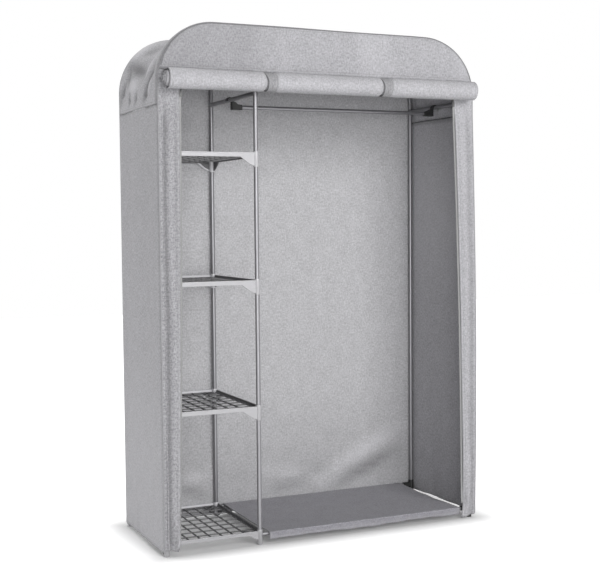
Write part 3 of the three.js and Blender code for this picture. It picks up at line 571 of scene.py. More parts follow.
def hook_bracket(x, inward):
    """A bracket: an outline of (x, z) pairs about the side rail, over the saddle's two arcs and round the
    box, carried along y, with its edges rounded by rings drawn in towards its centre."""
    over = np.linspace(0, np.pi, 19)
    arc = joined(np.cos(over), np.sin(over))
    box = [(hook_inner, -31), (hook_end, -31), (hook_end, -15), (28, -12.5), (19, -5.5),
           (hook_outer + 1.5, -4)]
    lips = [(-hook_outer, -3), (-hook_inner, -3)]
    outline = np.concatenate([box, hook_outer * arc, lips, hook_inner * arc[::-1], box[:1]])
    away = outline - (hook_inner + 16, -20)
    away = away / np.linalg.norm(away, axis=1)[:, None]
    rings = []
    flat_half = hook_half - hook_round
    for y, inset in ((-hook_half, hook_round), (-flat_half, 0), (flat_half, 0), (hook_half, hook_round)):
        out_x, up = (outline - inset * away).T
        rings.append(joined(x + inward * out_x, rail_y + y, side_rail_z + up))
    return np.stack(rings)


for side, x, inward in (("left", middle_x, 1), ("right", right_x, -1)):
    face = (x + inward * hook_end, rail_y, rail_z)
    mouth = cut_tube(mouth_radius, mouth_bore, face, inward * x_axis, -2, 1.2, edge=0.5)
    bracket = skin(f"hanging_rail_{side}_bracket", hook_bracket(x, inward), mouth)
    fit(bracket, black_plastic, "black_plastic", f"hanging_rail_{side}_hook", body="hanging_rail")
low, high = drawn("hanging_rail")
coated_tube("hanging_rail_tube", "hanging_rail", (0, rail_y, rail_z), x_axis, low[0], high[0], rail_radius,
            "hanging_rail")

# Cover cloth: a pale grey plain weave with uneven threads. Panels are hemmed and top-stitched, and hang a
# little off the tubes. The hem attribute is the distance to a panel's nearest sewn edge.
cloth_gap = 10.9
thread_pitch = 0.0011
stitch_pitch = 0.0034
hem_width = 0.009
stitch_rows = (0.0025, 0.0085)
stitch_reach = 0.0013
unsewn = 1000.0


def ripples(a, b, seed, shortest, longest, waves=10):
    """Unevenness between about -1 and 1: a sum of sine waves over (a, b) with seeded directions and phases.
    A wave's height is in proportion to its length."""
    chance = np.random.default_rng(seed)
    lengths = np.geomspace(shortest, longest, waves)
    turns = chance.uniform(0, np.pi, waves)
    phases = chance.uniform(0, 2 * np.pi, waves)
    total = 0
    for length, turn, phase in zip(lengths, turns, phases):
        wave = np.sin(2 * np.pi * (a * np.cos(turn) + b * np.sin(turn)) / length + phase)
        total = total + length * wave
    return total / (np.sqrt((lengths**2).sum() / 2) * 1.6)


def bell(value, middle, width, power=2):
    """1 at the middle, falling to both sides: exp(-(distance / width) to the power)."""
    return np.exp(-(((value - middle) / width) ** power))


def crease(a, b, start, end, width):
    """A soft fold along a line from start to end in (a, b): a bell across it, fading towards its two ends
    by the sine of the share of the way."""
    line_a = end[0] - start[0]
    line_b = end[1] - start[1]
    share = ((a - start[0]) * line_a + (b - start[1]) * line_b) / (line_a**2 + line_b**2)
    held = np.clip(share, 0, 1)
    distance = np.hypot(a - start[0] - held * line_a, b - start[1] - held * line_b)
    return bell(distance, 0, width) * (0.15 + 0.85 * np.sin(np.pi * held))


def rise(value, low, high):
    """0 below low, 1 above high, and a smooth step between: share squared times (3 - 2 * share)."""
    share = np.clip((value - low) / (high - low), 0, 1)
    return share * share * (3 - 2 * share)


def fall(value, low, high):
    """1 below low and 0 above high: 1 - rise."""
    return 1 - rise(value, low, high)


def woven_cloth(name, deep, pale, slub=1.0):
    """Plain weave: threads 1.1 mm apart both ways, each uneven along its length, over a soft mottling.
    Two rows of stitches and a doubled hem follow the panel's edges. Painted shade darkens the cloth where the
    measure fold is above 0, and a painted highlight makes it paler where it is below 0."""
    finish = Finish(name, Roughness=0.9, Sheen_Weight=0.15, Sheen_Roughness=0.5)
    weave, u, v = finish.weave_place()
    heather = finish.noise(weave, (180, 140, 0), 4, 0.7)
    warp = finish.noise(weave, (700, 60, 0), 2)
    weft = finish.noise(weave, (50, 620, 0), 2)
    patch = finish.noise(weave, (28, 18, 0), 3)
    tone = 0.5 + (heather - 0.5) * 2.6 * slub + (warp - 0.5) * 1.1 * slub + (weft - 0.5) * 1.1 * slub
    base = finish.mix((tone + (patch - 0.5) * 0.5).clipped(), deep, pale)
    edge = finish.add("Attribute", {}, output="Fac", attribute_name="hem") / 1000
    fold = finish.add("Attribute", {}, output="Fac", attribute_name="fold")
    doubled = (1 - (edge - hem_width) * 900).clipped()
    dash = ((u + v).lines(stitch_pitch) * 2 + 1.2).clipped()
    stitch = (edge.near(stitch_rows[0], stitch_reach) + edge.near(stitch_rows[1], stitch_reach)).clipped()
    layers = [
        # Painted shade and painted highlight come in here from the measure fold.
        (doubled * 0.14, 0.64), (fold.clipped() * 0.75, 0.12), ((fold * -0.9).clipped(), 0.70),
        (stitch * 0.5, 0.12), (stitch * dash * 0.35, 0.55), (edge.near(0.0, stitch_reach) * 0.5, 0.07),
    ]
    for share, level in layers:
        base = finish.mix(share, base, grey(level, 0.04))
    finish.wire("Base Color", base)
    threads = u.lines(thread_pitch) * v.lines(thread_pitch)
    height = threads * 0.25 + warp * 0.35 + weft * 0.35 + doubled * 0.5 - stitch * 0.9
    finish.uneven(height, 0.00035, 0.6)
    return finish.material


def cloth_piece(name, places, uv, hem, fold=0.0, thick=1.0, turn=1):
    """An open cloth surface on one grid, given its thickness half to each side. Where turn is -1 the grid's
    columns are taken from the other end, so that the surface faces outwards."""
    hem, fold = (np.broadcast_to(measure, places.shape[:2])[:, ::turn] for measure in (hem, fold))
    piece = skin(name, places[:, ::turn], uv=uv[:, ::turn], hem=hem, fold=fold, closed=False, crisp=60)
    solid = piece.modifiers.new("thickness", "SOLIDIFY")
    solid.thickness = thick / 1000
    solid.offset = 0
    return piece


def edge_distance(run, height, width, tall):
    """Distance to the nearest of a panel's four sewn edges, on its own flat cut."""
    return np.minimum(np.minimum(run, width - run), np.minimum(height, tall - height))


cover_cloth = woven_cloth("cover_cloth", grey(0.33, 0.05), grey(0.565, 0.05), 1.15)

# Hood: one piece of the cover cloth drawn over both hoops, from the seam above the left side to the one
# above the right side. It wraps the hoops' tubes and sags between them, most of all over the bends.
seam_z = side_rail_z - 41.0
half_turn = np.radians(45)
bend_sag = 28.0
roof_sag = 6.0


def arch(lowest, roof_steps, bend_steps, leg_steps):
    """Stations along a hoop from the left seam to the right one: x and z of the centreline, and the outward
    direction in x and z."""
    leg = np.linspace(lowest, spring_z, leg_steps)[:-1]
    bend = np.linspace(0, np.pi / 2, bend_steps)
    roof = np.linspace(hoop_radius, right_x - hoop_radius, roof_steps)[1:-1]
    left_part = np.concatenate([0 * leg, hoop_radius * (1 - np.cos(bend))])
    left_z = np.concatenate([leg, spring_z + hoop_radius * np.sin(bend)])
    x = np.concatenate([left_part, roof, right_x - left_part[::-1]])
    z = np.concatenate([left_z, np.full(len(roof), roof_z), left_z[::-1]])
    return x, z, *facing(x, z)


def facing(x, z):
    """Outward direction of a hoop's cloth in x and z. Its z part is also how far the cloth faces up."""
    up = np.clip((z - spring_z) / hoop_radius, 0, 1)
    return np.where(x < right_x / 2, -1.0, 1.0) * np.sqrt(1 - up**2), up


def along(*numbers):
    """Running length along a line, from the separate numbers of its places."""
    steps = np.linalg.norm(np.diff(joined(*numbers), axis=0), axis=1)
    return np.concatenate([[0], np.cumsum(steps)])


def roof_lift(x):
    """The cloth stands a little higher over the left half of the roof than over the right end."""
    return 3.5 * fall(x, 350, 720) - 3.2 * rise(x, 860, 1000)


def fold_depth(gathers, a, b):
    """Folds laid over one another. A gather is a depth, the two ends of its crease in (a, b) and a width."""
    return sum(depth * crease(a, b, start, end, width) for depth, start, end, width in gathers)


arch_x, arch_z, out_x, up = arch(seam_z - 3, 50, 64, 16)
run = along(arch_x + 11 * out_x, arch_z + 11 * up)[:, None]
wrap = np.linspace(-half_turn, 0, 5)
lean = np.concatenate([wrap, np.zeros(96), -wrap[::-1]])
depth = np.concatenate([np.zeros(5), np.linspace(0, back_y, 98)[1:-1], np.full(5, back_y)])
across = along(depth + cloth_gap * np.sin(lean), cloth_gap * np.cos(lean))
share = depth / back_y
side_x, side_z, side_out, side_up = (number[:, None] for number in (arch_x, arch_z, out_x, up))
on_left = (side_x < 300) * 1.0
on_right = (side_x > 800) * 1.0
on_side = on_left + on_right
into_bend = 2 * side_up * np.sqrt(1 - side_up**2)
sag = (bend_sag * into_bend + roof_sag * side_up) * np.sin(np.pi * share) ** 2
inner_part = rise(share, 0.02, 0.12) * fall(share, 0.88, 0.98)
folds = fold_depth([
    (18, (69, 1575), (146, 1486), 14), (8, (350, 1545), (175, 1480), 24), (-11, (28, 1536), (146, 1477), 9),
    (17, (38, 1500), (134, 1402), 15), (-8, (38, 1484), (78, 1412), 9), (-7, (290, 1490), (180, 1440), 34),
    (10, (196, 1442), (228, 1400), 10), (9, (275, 1447), (290, 1400), 10), (8, (330, 1500), (392, 1410), 15),
    (7, (240, 1600), (350, 1575), 20), (-7, (120, 1590), (210, 1560), 26), (6, (352, 1540), (300, 1455), 14),
], depth, side_z)
loose = rise(side_z, seam_z + 2, seam_z + 45)
uneven = 2.6 * ripples(run, across, 3, 45, 320) * loose
slack = sag + folds * on_side * loose * rise(share, 0, 0.06) * fall(share, 0.88, 0.97)
over_rail = 30 * (1 - bell(side_z, side_rail_z, 24))
slack = np.where((on_side > 0) & (side_z < spring_z + 20), np.minimum(slack, over_rail), slack)
reach = cloth_gap + roof_lift(side_x) * side_up + 1.2 * (1 - loose) - slack
lift = np.cos(lean) * (reach + uneven * inner_part * np.minimum(over_rail / 12, 1))
places = joined(side_x + side_out * lift, depth + cloth_gap * np.sin(lean), side_z + side_up * lift)
hem = edge_distance(run, across, run[-1], across[-1])
# Painted shade down the folds and over both hoops, and painted highlight where the cloth faces up.
tone = folds / 10 - 0.25 * rise(side_up, 0.5, 0.9)
tone = tone + 0.4 * crease(depth, side_z, (480, 1570), (80, 1476), 18)
tone = tone - 0.6 * crease(depth, side_z, (460, 1620), (310, 1560), 28)
tone = (tone + 0.6 * bell(depth, front_y, 9) + 0.4 * bell(depth, back_y, 10)) * (on_left + 0.5 * on_right)
piece = cloth_piece("hood_cloth", places, joined(run, across), hem, tone)
fit(piece, cover_cloth, "cover_cloth", "hood")

# Header: the flat front of the hood, cut to the hoop's arch and sewn to the hood over the front tube. The
# door and the two front strips are sewn to its straight lower edge.
header_z = 1490.0
edge_x = hoop_radius - math.sqrt(hoop_radius**2 - (header_z - spring_z) ** 2)
above = arch_z > header_z
line_x = np.concatenate([[edge_x], arch_x[above], [right_x - edge_x]])[:, None]
line_z = np.concatenate([[header_z], arch_z[above], [header_z]])[:, None]
line_out, line_up = facing(line_x, line_z)
wrap = np.linspace(-half_turn, -np.pi / 2, 6)
down = np.linspace(0, 1, 16)[1:]
line_lift = (cloth_gap + roof_lift(line_x) * line_up) * np.cos(wrap)
flat_z = line_z + (header_z - line_z) * down
panel_y = -cloth_gap - 1.6 * ripples(line_x, 3 * flat_z, 11, 90, 700) * np.sin(np.pi * down * 0.93)
turned_z = np.maximum(line_z + line_up * line_lift, header_z)
turned = joined(line_x + line_out * line_lift, cloth_gap * np.sin(wrap), turned_z)
places = np.concatenate([turned, joined(line_x, panel_y, flat_z)], 1)
x, _, z = places.transpose(2, 0, 1)
header_top = cloth_gap + np.interp(x, line_x[:, 0], line_z[:, 0]) - z
hem = np.minimum(np.abs(z - header_z - 5), np.maximum(header_top, 0))
# Painted shade, darker towards the left, and a painted shadow line along the roll's top.
tone = 0.34 * fall(x, 60, 760) + 0.10 * ripples(x, 0.15 * z, 13, 70, 400) + 0.8 * bell(z, header_z + 1, 4)
piece = cloth_piece("header_cloth", places, joined(x, z), hem, tone)
fit(piece, cover_cloth, "cover_cloth", "header")

# Sides and back: three tall panels between the corners, sewn to the hood at the top and open at the hem.
# Each takes half of the turn round its two posts, is slack between them and ends just off the floor.
side_hem_z = 13.0
back_hem_z = 7.0
right_flare = 15.0


def wall_line(start, end, outward, steps):
    """A wall's line in plan, from one corner post to the next. normal = cos(turn) * outward + sin(turn) *
    along, and place = post + gap * normal, with turn from -45 to 0 degrees at the first post and from 0 to
    45 at the second. With it: the running length, the share of the way and how free the cloth hangs."""
    length = math.dist(start, end)
    heading = np.subtract(end, start) / length
    turn = np.linspace(-half_turn, 0, 6)
    turns = np.concatenate([turn, np.zeros(steps), -turn[::-1]])[:, None]
    way = np.concatenate([np.zeros(6), np.linspace(0, length, steps + 2)[1:-1], np.full(6, length)])[:, None]
    normal = np.cos(turns) * outward + np.sin(turns) * heading
    line = start + way * heading + cloth_gap * normal
    share = way / length
    return line, normal, along(line[:, 0], line[:, 1])[:, None], share, np.sin(np.pi * share) ** 0.7


def moved_out(line, normal, slack, z):
    """A wall's places: its line in plan at every height, moved along its normal by the slack."""
    return joined(line[:, :1] + slack * normal[:, :1], line[:, 1:] + slack * normal[:, 1:], z)


def flare_at(z):
    """How far the right front edge stands out: a wave that starts a quarter of the way along at the hem."""
    share = np.clip((z - side_hem_z) / (seam_z - side_hem_z), 0, 1)
    return right_flare * np.sin(np.pi * (0.25 + 0.75 * share))


z = np.concatenate([np.linspace(side_hem_z, 60, 7), np.linspace(60, seam_z, 64)[1:]])
level = (z - side_hem_z) / (seam_z - side_hem_z)
for side, x, out in (("left", left_x, -1), ("right", right_x, 1)):
    line, normal, run, share, free = wall_line((x, front_y), (x, back_y), (out, 0), 40)
    seed = 21 + out
    slack = 3 * free * np.sin(np.pi * level) + 2.6 * free * ripples(run, 0.3 * z, seed, 60, 420)
    pucker = rise(level, 0.97, 1.0) + fall(level, 0.0, 0.12)
    slack = slack + 1.6 * free * pucker * ripples(run, 0.6 * z, seed + 5, 22, 60)
    places = moved_out(line, normal, slack, z)
    places[..., 0] += (side == "right") * flare_at(z) * (1 - share)
    lifted = 1.4 * ripples(run, 0, 31 + out, 60, 300) - 3.6 * (out > 0) * np.sin(np.pi * share)
    places[..., 2] -= fall(z, 20, 160) * lifted
    hem = edge_distance(run, z - side_hem_z, run[-1], seam_z - side_hem_z)
    # Painted shade and light: left side dark at its front corner and high up, pale low; right wall pale band.
    left_side_shade = 0.5 * bell(run, 0, 7) - 0.3 * fall(z, 150, 800) + 0.1 * rise(z, 800, 1250)
    tone = left_side_shade * (side == "left") - 0.3 * bell(z, 1080, 260) * (side == "right")
    piece = cloth_piece(f"{side}_side_cloth", places, joined(run, z), hem, tone, turn=out)
    fit(piece, cover_cloth, "cover_cloth", f"{side}_side")

# A paler copy of the cover cloth, so that painted light brightens the back panel inside.
brightened_back_cloth = woven_cloth("brightened_back_cloth", grey(0.38, 0.03), grey(0.63, 0.03))
line, normal, run, share, free = wall_line((left_x, back_y), (right_x, back_y), (0, 1), 96)
x = line[:, :1]
centre_x = np.clip(x, 0, right_x)
into_bend = np.minimum(centre_x, right_x - centre_x)
bend_z = spring_z + np.sqrt(np.maximum(hoop_radius**2 - (hoop_radius - into_bend) ** 2, 0))
top_z = np.where(into_bend < hoop_radius, bend_z, roof_z) + cloth_gap * 0.9
level = np.concatenate([np.linspace(0, 0.04, 6), np.linspace(0.04, 1, 66)[1:]])
z = back_hem_z + (top_z - back_hem_z) * level
folds = fold_depth([
    (-9, (720, 95), (1085, 270), 26), (9, (760, 45), (1060, 175), 24), (-6, (470, 150), (800, 70), 24),
    (7, (40, 190), (290, 60), 24), (-6, (60, 110), (330, 150), 20), (6, (520, 60), (760, 130), 26),
], x, z)
slack = 5 * free * np.sin(np.pi * level) + 2.4 * free * ripples(run, 0.3 * z, 41, 80, 500)
slack = np.maximum(slack + folds * free, -12 * rise(z, 48, 95))
places = moved_out(line, normal, slack, z)
hem = edge_distance(run, z - back_hem_z, run[-1], top_z - back_hem_z)
# Painted shade: darker down the folds and towards the bottom.
tone = folds / 15 + 0.26 * fall(z, 60, 460)
piece = cloth_piece("back_panel_cloth", places[::-1], joined(run, z)[::-1], hem[::-1], tone[::-1])
fit(piece, brightened_back_cloth, "cover_cloth", "back_panel")

# Front strips: two narrow panels sewn to the sides and the header, each with a doubled hem along the zip.
# Their free edges hang in slack vertical folds, and the left one's foot is gathered.
strip_hems = {-1: 20.0, 1: 9.0}
zip_low_z = 110.0
zip_high_z = 1399.0
slider_low_z = 70.0


def zip_x(side, z):
    """Inner edge of the zip tape: a straight line through its places at two heights, with a slight bow in
    the middle, and below the slider's lowest place a turn to the left, which is towards the corner on the
    left side and away from it on the right."""
    share = (z - zip_low_z) / (zip_high_z - zip_low_z)
    bow = np.sin(np.pi * np.clip(share, 0, 1))
    turned_left = 9.0 * fall(z, 8, slider_low_z - 8)
    if side < 0:
        return 45.0 + 19.0 * share + 3.5 * bow - turned_left
    return 1057.0 - 32.5 * share + 6.0 * bow - turned_left


def strip_places(side):
    """A front strip. From the corner it wraps 45 degrees of the post, x = post + gap * sin(turn), and then
    runs flat to the zip. Its folds stand forward: ribs and valleys at set distances from the corner, each
    a bell, which fade under the roll and grow towards the hem."""
    foot = np.linspace(strip_hems[side], 60, 8)
    z = np.concatenate([foot, np.linspace(60, header_z - 1, 100)[1:]])[:, None]
    turn = np.linspace(half_turn, 0, 6)
    bend_in = hoop_radius - np.sqrt(hoop_radius**2 - np.maximum(z - spring_z, 0) ** 2)
    post = bend_in if side < 0 else right_x - bend_in + flare_at(z)
    inner = zip_x(side, z) + side * 6.0
    flat_x = post + (inner - post) * np.linspace(0, 1, 34)[1:]
    x = np.concatenate([post + side * cloth_gap * np.sin(turn), flat_x], 1)
    y = -cloth_gap * np.concatenate([np.cos(turn), np.ones(33)])
    from_corner = np.abs(x - post)
    width = np.abs(inner - post)
    inside = np.sign(x - post) * -side > 0
    share = np.clip(from_corner / width, 0, 1) * inside
    slack = fall(z, 1330, 1420) * inside
    low = fall(z, 90, 430)
    wander = 4.0 * ripples(z, 0, 51 + side, 160, 700)
    rib = bell(from_corner - wander, 31, 13)
    lip = bell(from_corner, 2, 4)
    valley = bell(from_corner - 0.6 * wander, 10.5, 4.5)
    hem_edge = rise(from_corner, width - 13, width - 9)
    gather = np.sin(from_corner / 6.5 + z / 31 + 1.5 * np.sin(z / 57))
    forward = (5 + 3 * low) * rib + (2.5 + 3.5 * low) * lip - 2.6 * valley + 3.0 * hem_edge
    forward = forward + 2.2 * share * ripples(from_corner, 0.2 * z, 61 + side, 40, 300)
    forward = forward + (4.5 if side < 0 else 2.0) * low * share * (1.1 + gather)
    forward = np.where((z < 60) & (side > 0), np.maximum(forward, 0.5), forward)
    at_stop = bell(z, slider_low_z, 32, 4) * rise(from_corner, width - 20, width - 8)
    forward = forward * (1 - at_stop * (side > 0))
    lifted = fall(z, 30, 150) * 2.5 * np.sin(from_corner / 14 + 2) * inside
    places = joined(x, y - np.maximum(forward, -2.4) * slack, z + lifted)
    # Painted shade: darker in the valleys and towards the hem, paler on the ribs, and the left strip darker.
    tone = (4.4 - forward) / 9 * slack * inside + 0.18 * fall(z, 60, 520)
    tone = np.maximum(tone, -0.1) + (side < 0) * (0.1 + 0.04 * low) * inside
    return places, from_corner, z, width, tone


# The left strip's darker copy of the cover cloth, and the toned shares, paint shade on the strips.
strip_cloth = woven_cloth("strip_cloth", grey(0.27, 0.05), grey(0.50, 0.05), 1.4)
strips = (("left", -1, strip_cloth, 0.9, 0.075), ("right", 1, cover_cloth, 0.5, 0.082))
for side_name, side, finish, toned, flat_width in strips:
    places, from_corner, z, width, tone = strip_places(side)
    hem = np.minimum(np.abs(width - from_corner), np.minimum(z - strip_hems[side], header_z - places[..., 2]))
    uv = places[..., [0, 2]]
    piece = cloth_piece(f"{side_name}_strip_cloth", places, uv, hem, tone * toned, turn=side)
    fit(piece, finish, "cover_cloth", f"{side_name}_front_strip")

# Piping: a cord in a darker bias strip, sewn into the seams between the hood and the header or back panel,
# and down the four corners to the hem.
piping_radius = 1.9
twill_pitch = 0.0012


def sewn_cord(name, path, radius, girth, finish, slot):
    """A cord: a circle of the radius, square to the path, carried along it. first is square to both the
    path's heading and a fixed direction, and second to the heading and first."""
    heading = np.gradient(path, axis=0)
    heading = heading / np.linalg.norm(heading, axis=1)[:, None]
    first = np.cross(heading, np.array([0.35, 0.9, 0.2]))
    first = first / np.linalg.norm(first, axis=1)[:, None]
    rings = radius * round_ring(first[:, None], np.cross(heading, first)[:, None], 8)
    uv = joined(along(*path.T)[:, None], np.linspace(0, girth, 9))
    return fit(skin(name, path[:, None] + rings, uv=uv, hem=unsewn), finish, slot)


def bias_strip():
    """The cord's cover: twill lines 1.2 mm apart over soft clouding, darker over the roof than down the
    corners."""
    finish = Finish("piping_cloth", Roughness=0.85)
    weave, u, v = finish.weave_place()
    height = finish.add("SeparateXYZ", {0: finish.object_place()}, output="Z")
    twill = (u + v).lines(twill_pitch) * 0.5 + 0.5
    cloud = finish.noise(weave, (160, 160, 0), 3)
    tone = (twill * 0.3 + cloud * 0.7).clipped()
    dark = finish.mix(tone, grey(0.15, 0.04), grey(0.27, 0.04))
    pale = finish.mix(tone, grey(0.26, 0.04), grey(0.46, 0.04))
    finish.wire("Base Color", finish.mix(((height - 1.42) * 8).clipped(), pale, dark))
    finish.uneven(twill, 0.0002, 0.6)
    return finish.material


piping_cloth = bias_strip()
corner_gap = (cloth_gap + 1.1) * math.cos(half_turn)
x, z, out_x, up = arch(side_hem_z, 50, 40, 60)
lifted = corner_gap + roof_lift(x) * up * math.cos(half_turn)
for row, y, away in (("front", front_y, -1), ("back", back_y, 1)):
    flare = flare_at(z) * (x > right_x - 1) * (away < 0)
    path = joined(x + out_x * lifted + flare, y + away * corner_gap, z + up * lifted)
    sewn_cord(f"{row}_piping", path, piping_radius, 9, piping_cloth, "cover_cloth")

# Seam bindings: a tape folded over the raw edges of the seam between the hood and each side, on the
# inside. Its near-black colour is painted shade along the seam.
binding_radius = 2.0
inside_seam = cloth_gap - 1.9
binding_cloth = woven_cloth("binding_cloth", grey(0.07, 0.03), grey(0.13, 0.03))
for side_name, x in (("left", left_x - inside_seam), ("right", right_x + inside_seam)):
    y = np.linspace(-2, back_y + 2, 60)
    flare = flare_at(seam_z) * (1 - y / back_y) * (side_name == "right")
    path = joined(x + flare, y, seam_z + 0.6 * np.sin(y / 40))
    sewn_cord(f"{side_name}_seam_binding", path, binding_radius, 12, binding_cloth, "cover_cloth")

# Zips: a tape sewn behind each strip's hem, with a nylon coil along its edge. The metal sliders are parked
# near the top, and their pull tabs hang on them.
tape_hem_z = 53.0
tape_set_back = 10.2
tape_thick = 0.7
tooth_pitch = 0.0014
tape_rib_pitch = 0.0008
coil_width = 0.0022


def zip_tape_finish():
    """Grey tape with a fine rib across it, and the coil's teeth 1.4 mm apart along the edge."""
    finish = Finish("zip_tape", Roughness=0.8)
    weave, u, v = finish.weave_place()
    coil = (1 - (u - coil_width) * 4000).clipped()
    teeth = v.lines(tooth_pitch) * 0.5 + 0.5
    rib = v.lines(tape_rib_pitch) * 0.5 + 0.5
    cloud = finish.noise(weave, (600, 60, 0), 2)
    tape = finish.mix((rib * 0.4 + cloud * 0.6).clipped(), grey(0.34), grey(0.50))
    nylon = finish.mix(teeth, grey(0.22), grey(0.55))
    finish.wire("Base Color", finish.mix(coil, tape, nylon))
    finish.uneven(coil * teeth + rib * 0.15, 0.0005, 0.7)
    return finish.material


def cast_metal():
    """Dark plated zinc: dull, with tumbling marks and clouding."""
    finish = Finish("zip_metal", Metallic=0.3)
    place = finish.object_place()
    cloud = finish.noise(place, (500, 500, 500), 4, 0.6)
    marks = finish.noise(place, (3000, 900, 900), 2)
    finish.wire("Base Color", finish.mix(cloud, grey(0.09), grey(0.20)))
    finish.wire("Roughness", 0.42 + marks * 0.2)
    finish.uneven(marks, 0.00003, 0.4)
    return finish.material


zip_cloth = zip_tape_finish()
zip_metal = cast_metal()
z = np.linspace(tape_hem_z, header_z - 1, 120)[:, None]
offset = np.array([0, 0.3, 0.9, 1.5, 2.1, 2.6, 4, 6, 8, 10, 12])
bead = np.array([0, 0.75, 1.0, 0.85, 0.4, 0, 0, 0, 0, 0, 0])
for side_name, side in (("left", -1), ("right", 1)):
    places = joined(zip_x(side, z) + side * offset, -tape_set_back - bead, z)
    uv = joined(offset, z)
    piece = cloth_piece(f"{side_name}_zip_coil_tape", places, uv, unsewn, thick=tape_thick, turn=-side)
    fit(piece, zip_cloth, "zip_cloth", f"{side_name}_zip_tape")
    for part in ("slider", "pull"):
        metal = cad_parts[f"{side_name}_zip_{part}"].data.materials
        metal.clear()
        metal.append(zip_metal)

# Rolled door: the door's whole length of cloth wound up under the header, about fourteen turns. Its inner
# turns lie a little further left, and two straps sewn into the header seam hold it.
roll_radius = 30.9
roll_core = 6.0
roll_y = -45.0
roll_z = header_z - 32.0
door_length = 1430.0
lead_length = 40.0
roll_left = 9.5
roll_right = 1084.5
strap_places = (right_x * 0.31, right_x * 0.68)
strap_half = 18.0
seam_point = (-11.8, header_z - 0.6)


def drawn_in(x):
    """How much a strap draws the roll in, as a share of its radius, with a slight fullness between. The
    waist is a bell of the eighth power, so it is flat under the strap and steep beside it."""
    waist = sum(bell(x, place, 21, 8) for place in strap_places)
    return 1.03 - 0.2 * waist


def roll_lumps(x, angle):
    """Small lumps of the outer turns, the same through the roll: ripples over length and girth."""
    return 1 + 0.018 * ripples(x, 30 * np.cos(angle), 71, 60, 420) + 0.012 * np.sin(3 * angle + x / 160)


def wound_in(share):
    """How far in the cloth lies, from 0 outside to 1 at the core: even, with a looser second turn."""
    return share + 0.27 * (1 - bell(share, 0, 0.06)) * (1 - share)


def wound_band(x, bearing, girth, wound, first_share=0.0, raised=0.0):
    """Cloth wound on the roll, and the straight run that leads it in from the header seam in six steps.
    place = axis + girth * (cos(bearing) upwards, -sin(bearing) to the back). With it: the running length."""
    wind_y = roll_y - girth * np.sin(bearing)
    wind_z = roll_z + girth * np.cos(bearing)
    lead = np.linspace(first_share, 1, 7)[:-1, None]
    from_y = seam_point[0]
    from_z = seam_point[1] + raised
    lead_y = from_y + (wind_y[:1] - from_y) * lead
    lead_z = from_z + (wind_z[:1] - from_z) * lead
    places = np.concatenate([joined(x[:1], lead_y, lead_z), joined(x, wind_y, wind_z)])
    return places, np.concatenate([lead[:, 0] * lead_length, lead_length + wound])[:, None]


# The straight run meets the roll over its top, at an angle from straight up towards the front: atan2 of the
# arm from the roll's axis to the seam, plus the arc cosine of radius / arm.
arm = (seam_point[0] - roll_y, seam_point[1] - roll_z)
touch = math.atan2(-arm[0], arm[1]) + math.acos(roll_radius / math.hypot(*arm))
mean_radius = roll_radius - (roll_radius - roll_core) * wound_in(np.linspace(0, 1, 200)).mean()
turns = (door_length - lead_length) / (2 * math.pi * mean_radius)
angle = np.linspace(0, 2 * np.pi * turns, int(turns * 24))[:, None]
share = angle / angle[-1]
radius = roll_radius - (roll_radius - roll_core) * wound_in(share)
radius = radius + 0.45 * np.sin(angle * 1.37) * np.minimum(angle / 6, 1)
near = np.concatenate([np.linspace(-42, 42, 25), np.linspace(-23, -9, 9)])
x = np.unique(np.concatenate([
    roll_left + np.array([0, 2, 5]), np.linspace(roll_left + 10, roll_right - 10, 58),
    *(place + near for place in strap_places), roll_right - np.array([5, 2, 0]),
]))
depth_in = 1 - radius / roll_radius
recess = 18 * bell(share, 0.11, 0.045) * (x < 200)
span_x = x - 15 * depth_in + 5.0 * depth_in * np.sin(angle / 5.0) + recess
girth = radius * drawn_in(x) * roll_lumps(x, touch + angle)
wound = np.concatenate([[0], np.cumsum(radius[1:, 0] * np.diff(angle[:, 0]))])
places, run = wound_band(span_x, touch + angle, girth, wound)
hem = edge_distance(x - roll_left, run, roll_right - roll_left, run[-1])
# Painted shadow: a dark line beside each strap's left edge; painted highlight: the rest a little paler.
strap_edge = -strap_half * (1.08 - 0.38 * rise(angle, 0.3, 1.7))
tone = sum(bell(x - place - strap_edge, -1.6, 2) for place in strap_places)
tone = 1.5 * np.concatenate([np.repeat(tone[:1], 6, 0), tone]) - 0.14
piece = cloth_piece("rolled_door_cloth", places, joined(x, run), hem, tone)
fit(piece, cover_cloth, "cover_cloth", "rolled_door", body="rolled_door")

# Door straps: bands of the same cloth, doubled and stitched along both edges. Each comes out of the
# header seam, draws the roll in and passes round it to the back.
strap_thick = 2.2
# A darker copy of the cover cloth: painted shade on the straps.
strap_cloth = woven_cloth("strap_cloth", grey(0.24, 0.04), grey(0.42, 0.04))
width = np.linspace(-strap_half, strap_half, 13)
sweep = np.linspace(0, 2 * np.pi * 0.75, 54)[:, None]
narrowed = rise(sweep, 0.3, 1.7)
for side_name, middle in zip(("left", "right"), strap_places):
    x = middle + width * (1.08 - 0.08 * narrowed - 0.3 * narrowed * (width < 0))
    girth = roll_radius * drawn_in(middle) * roll_lumps(x, touch + sweep) + 2.0
    girth = girth + 0.35 * np.cos(np.pi * width / strap_half)
    places, run = wound_band(x, touch + sweep, girth, sweep[:, 0] * roll_radius, 0.08, 1.2)
    hem = np.minimum(strap_half - np.abs(width), run[-1] - run)
    # Painted shadow along the strap's left edge.
    tone = 1.2 * bell(width, -strap_half, 3)
    uv = joined(width + strap_half, run)
    piece = cloth_piece(f"{side_name}_strap_cloth", places, uv, hem, tone, strap_thick)
    fit(piece, strap_cloth, "cover_cloth", f"{side_name}_door_strap", body="rolled_door")

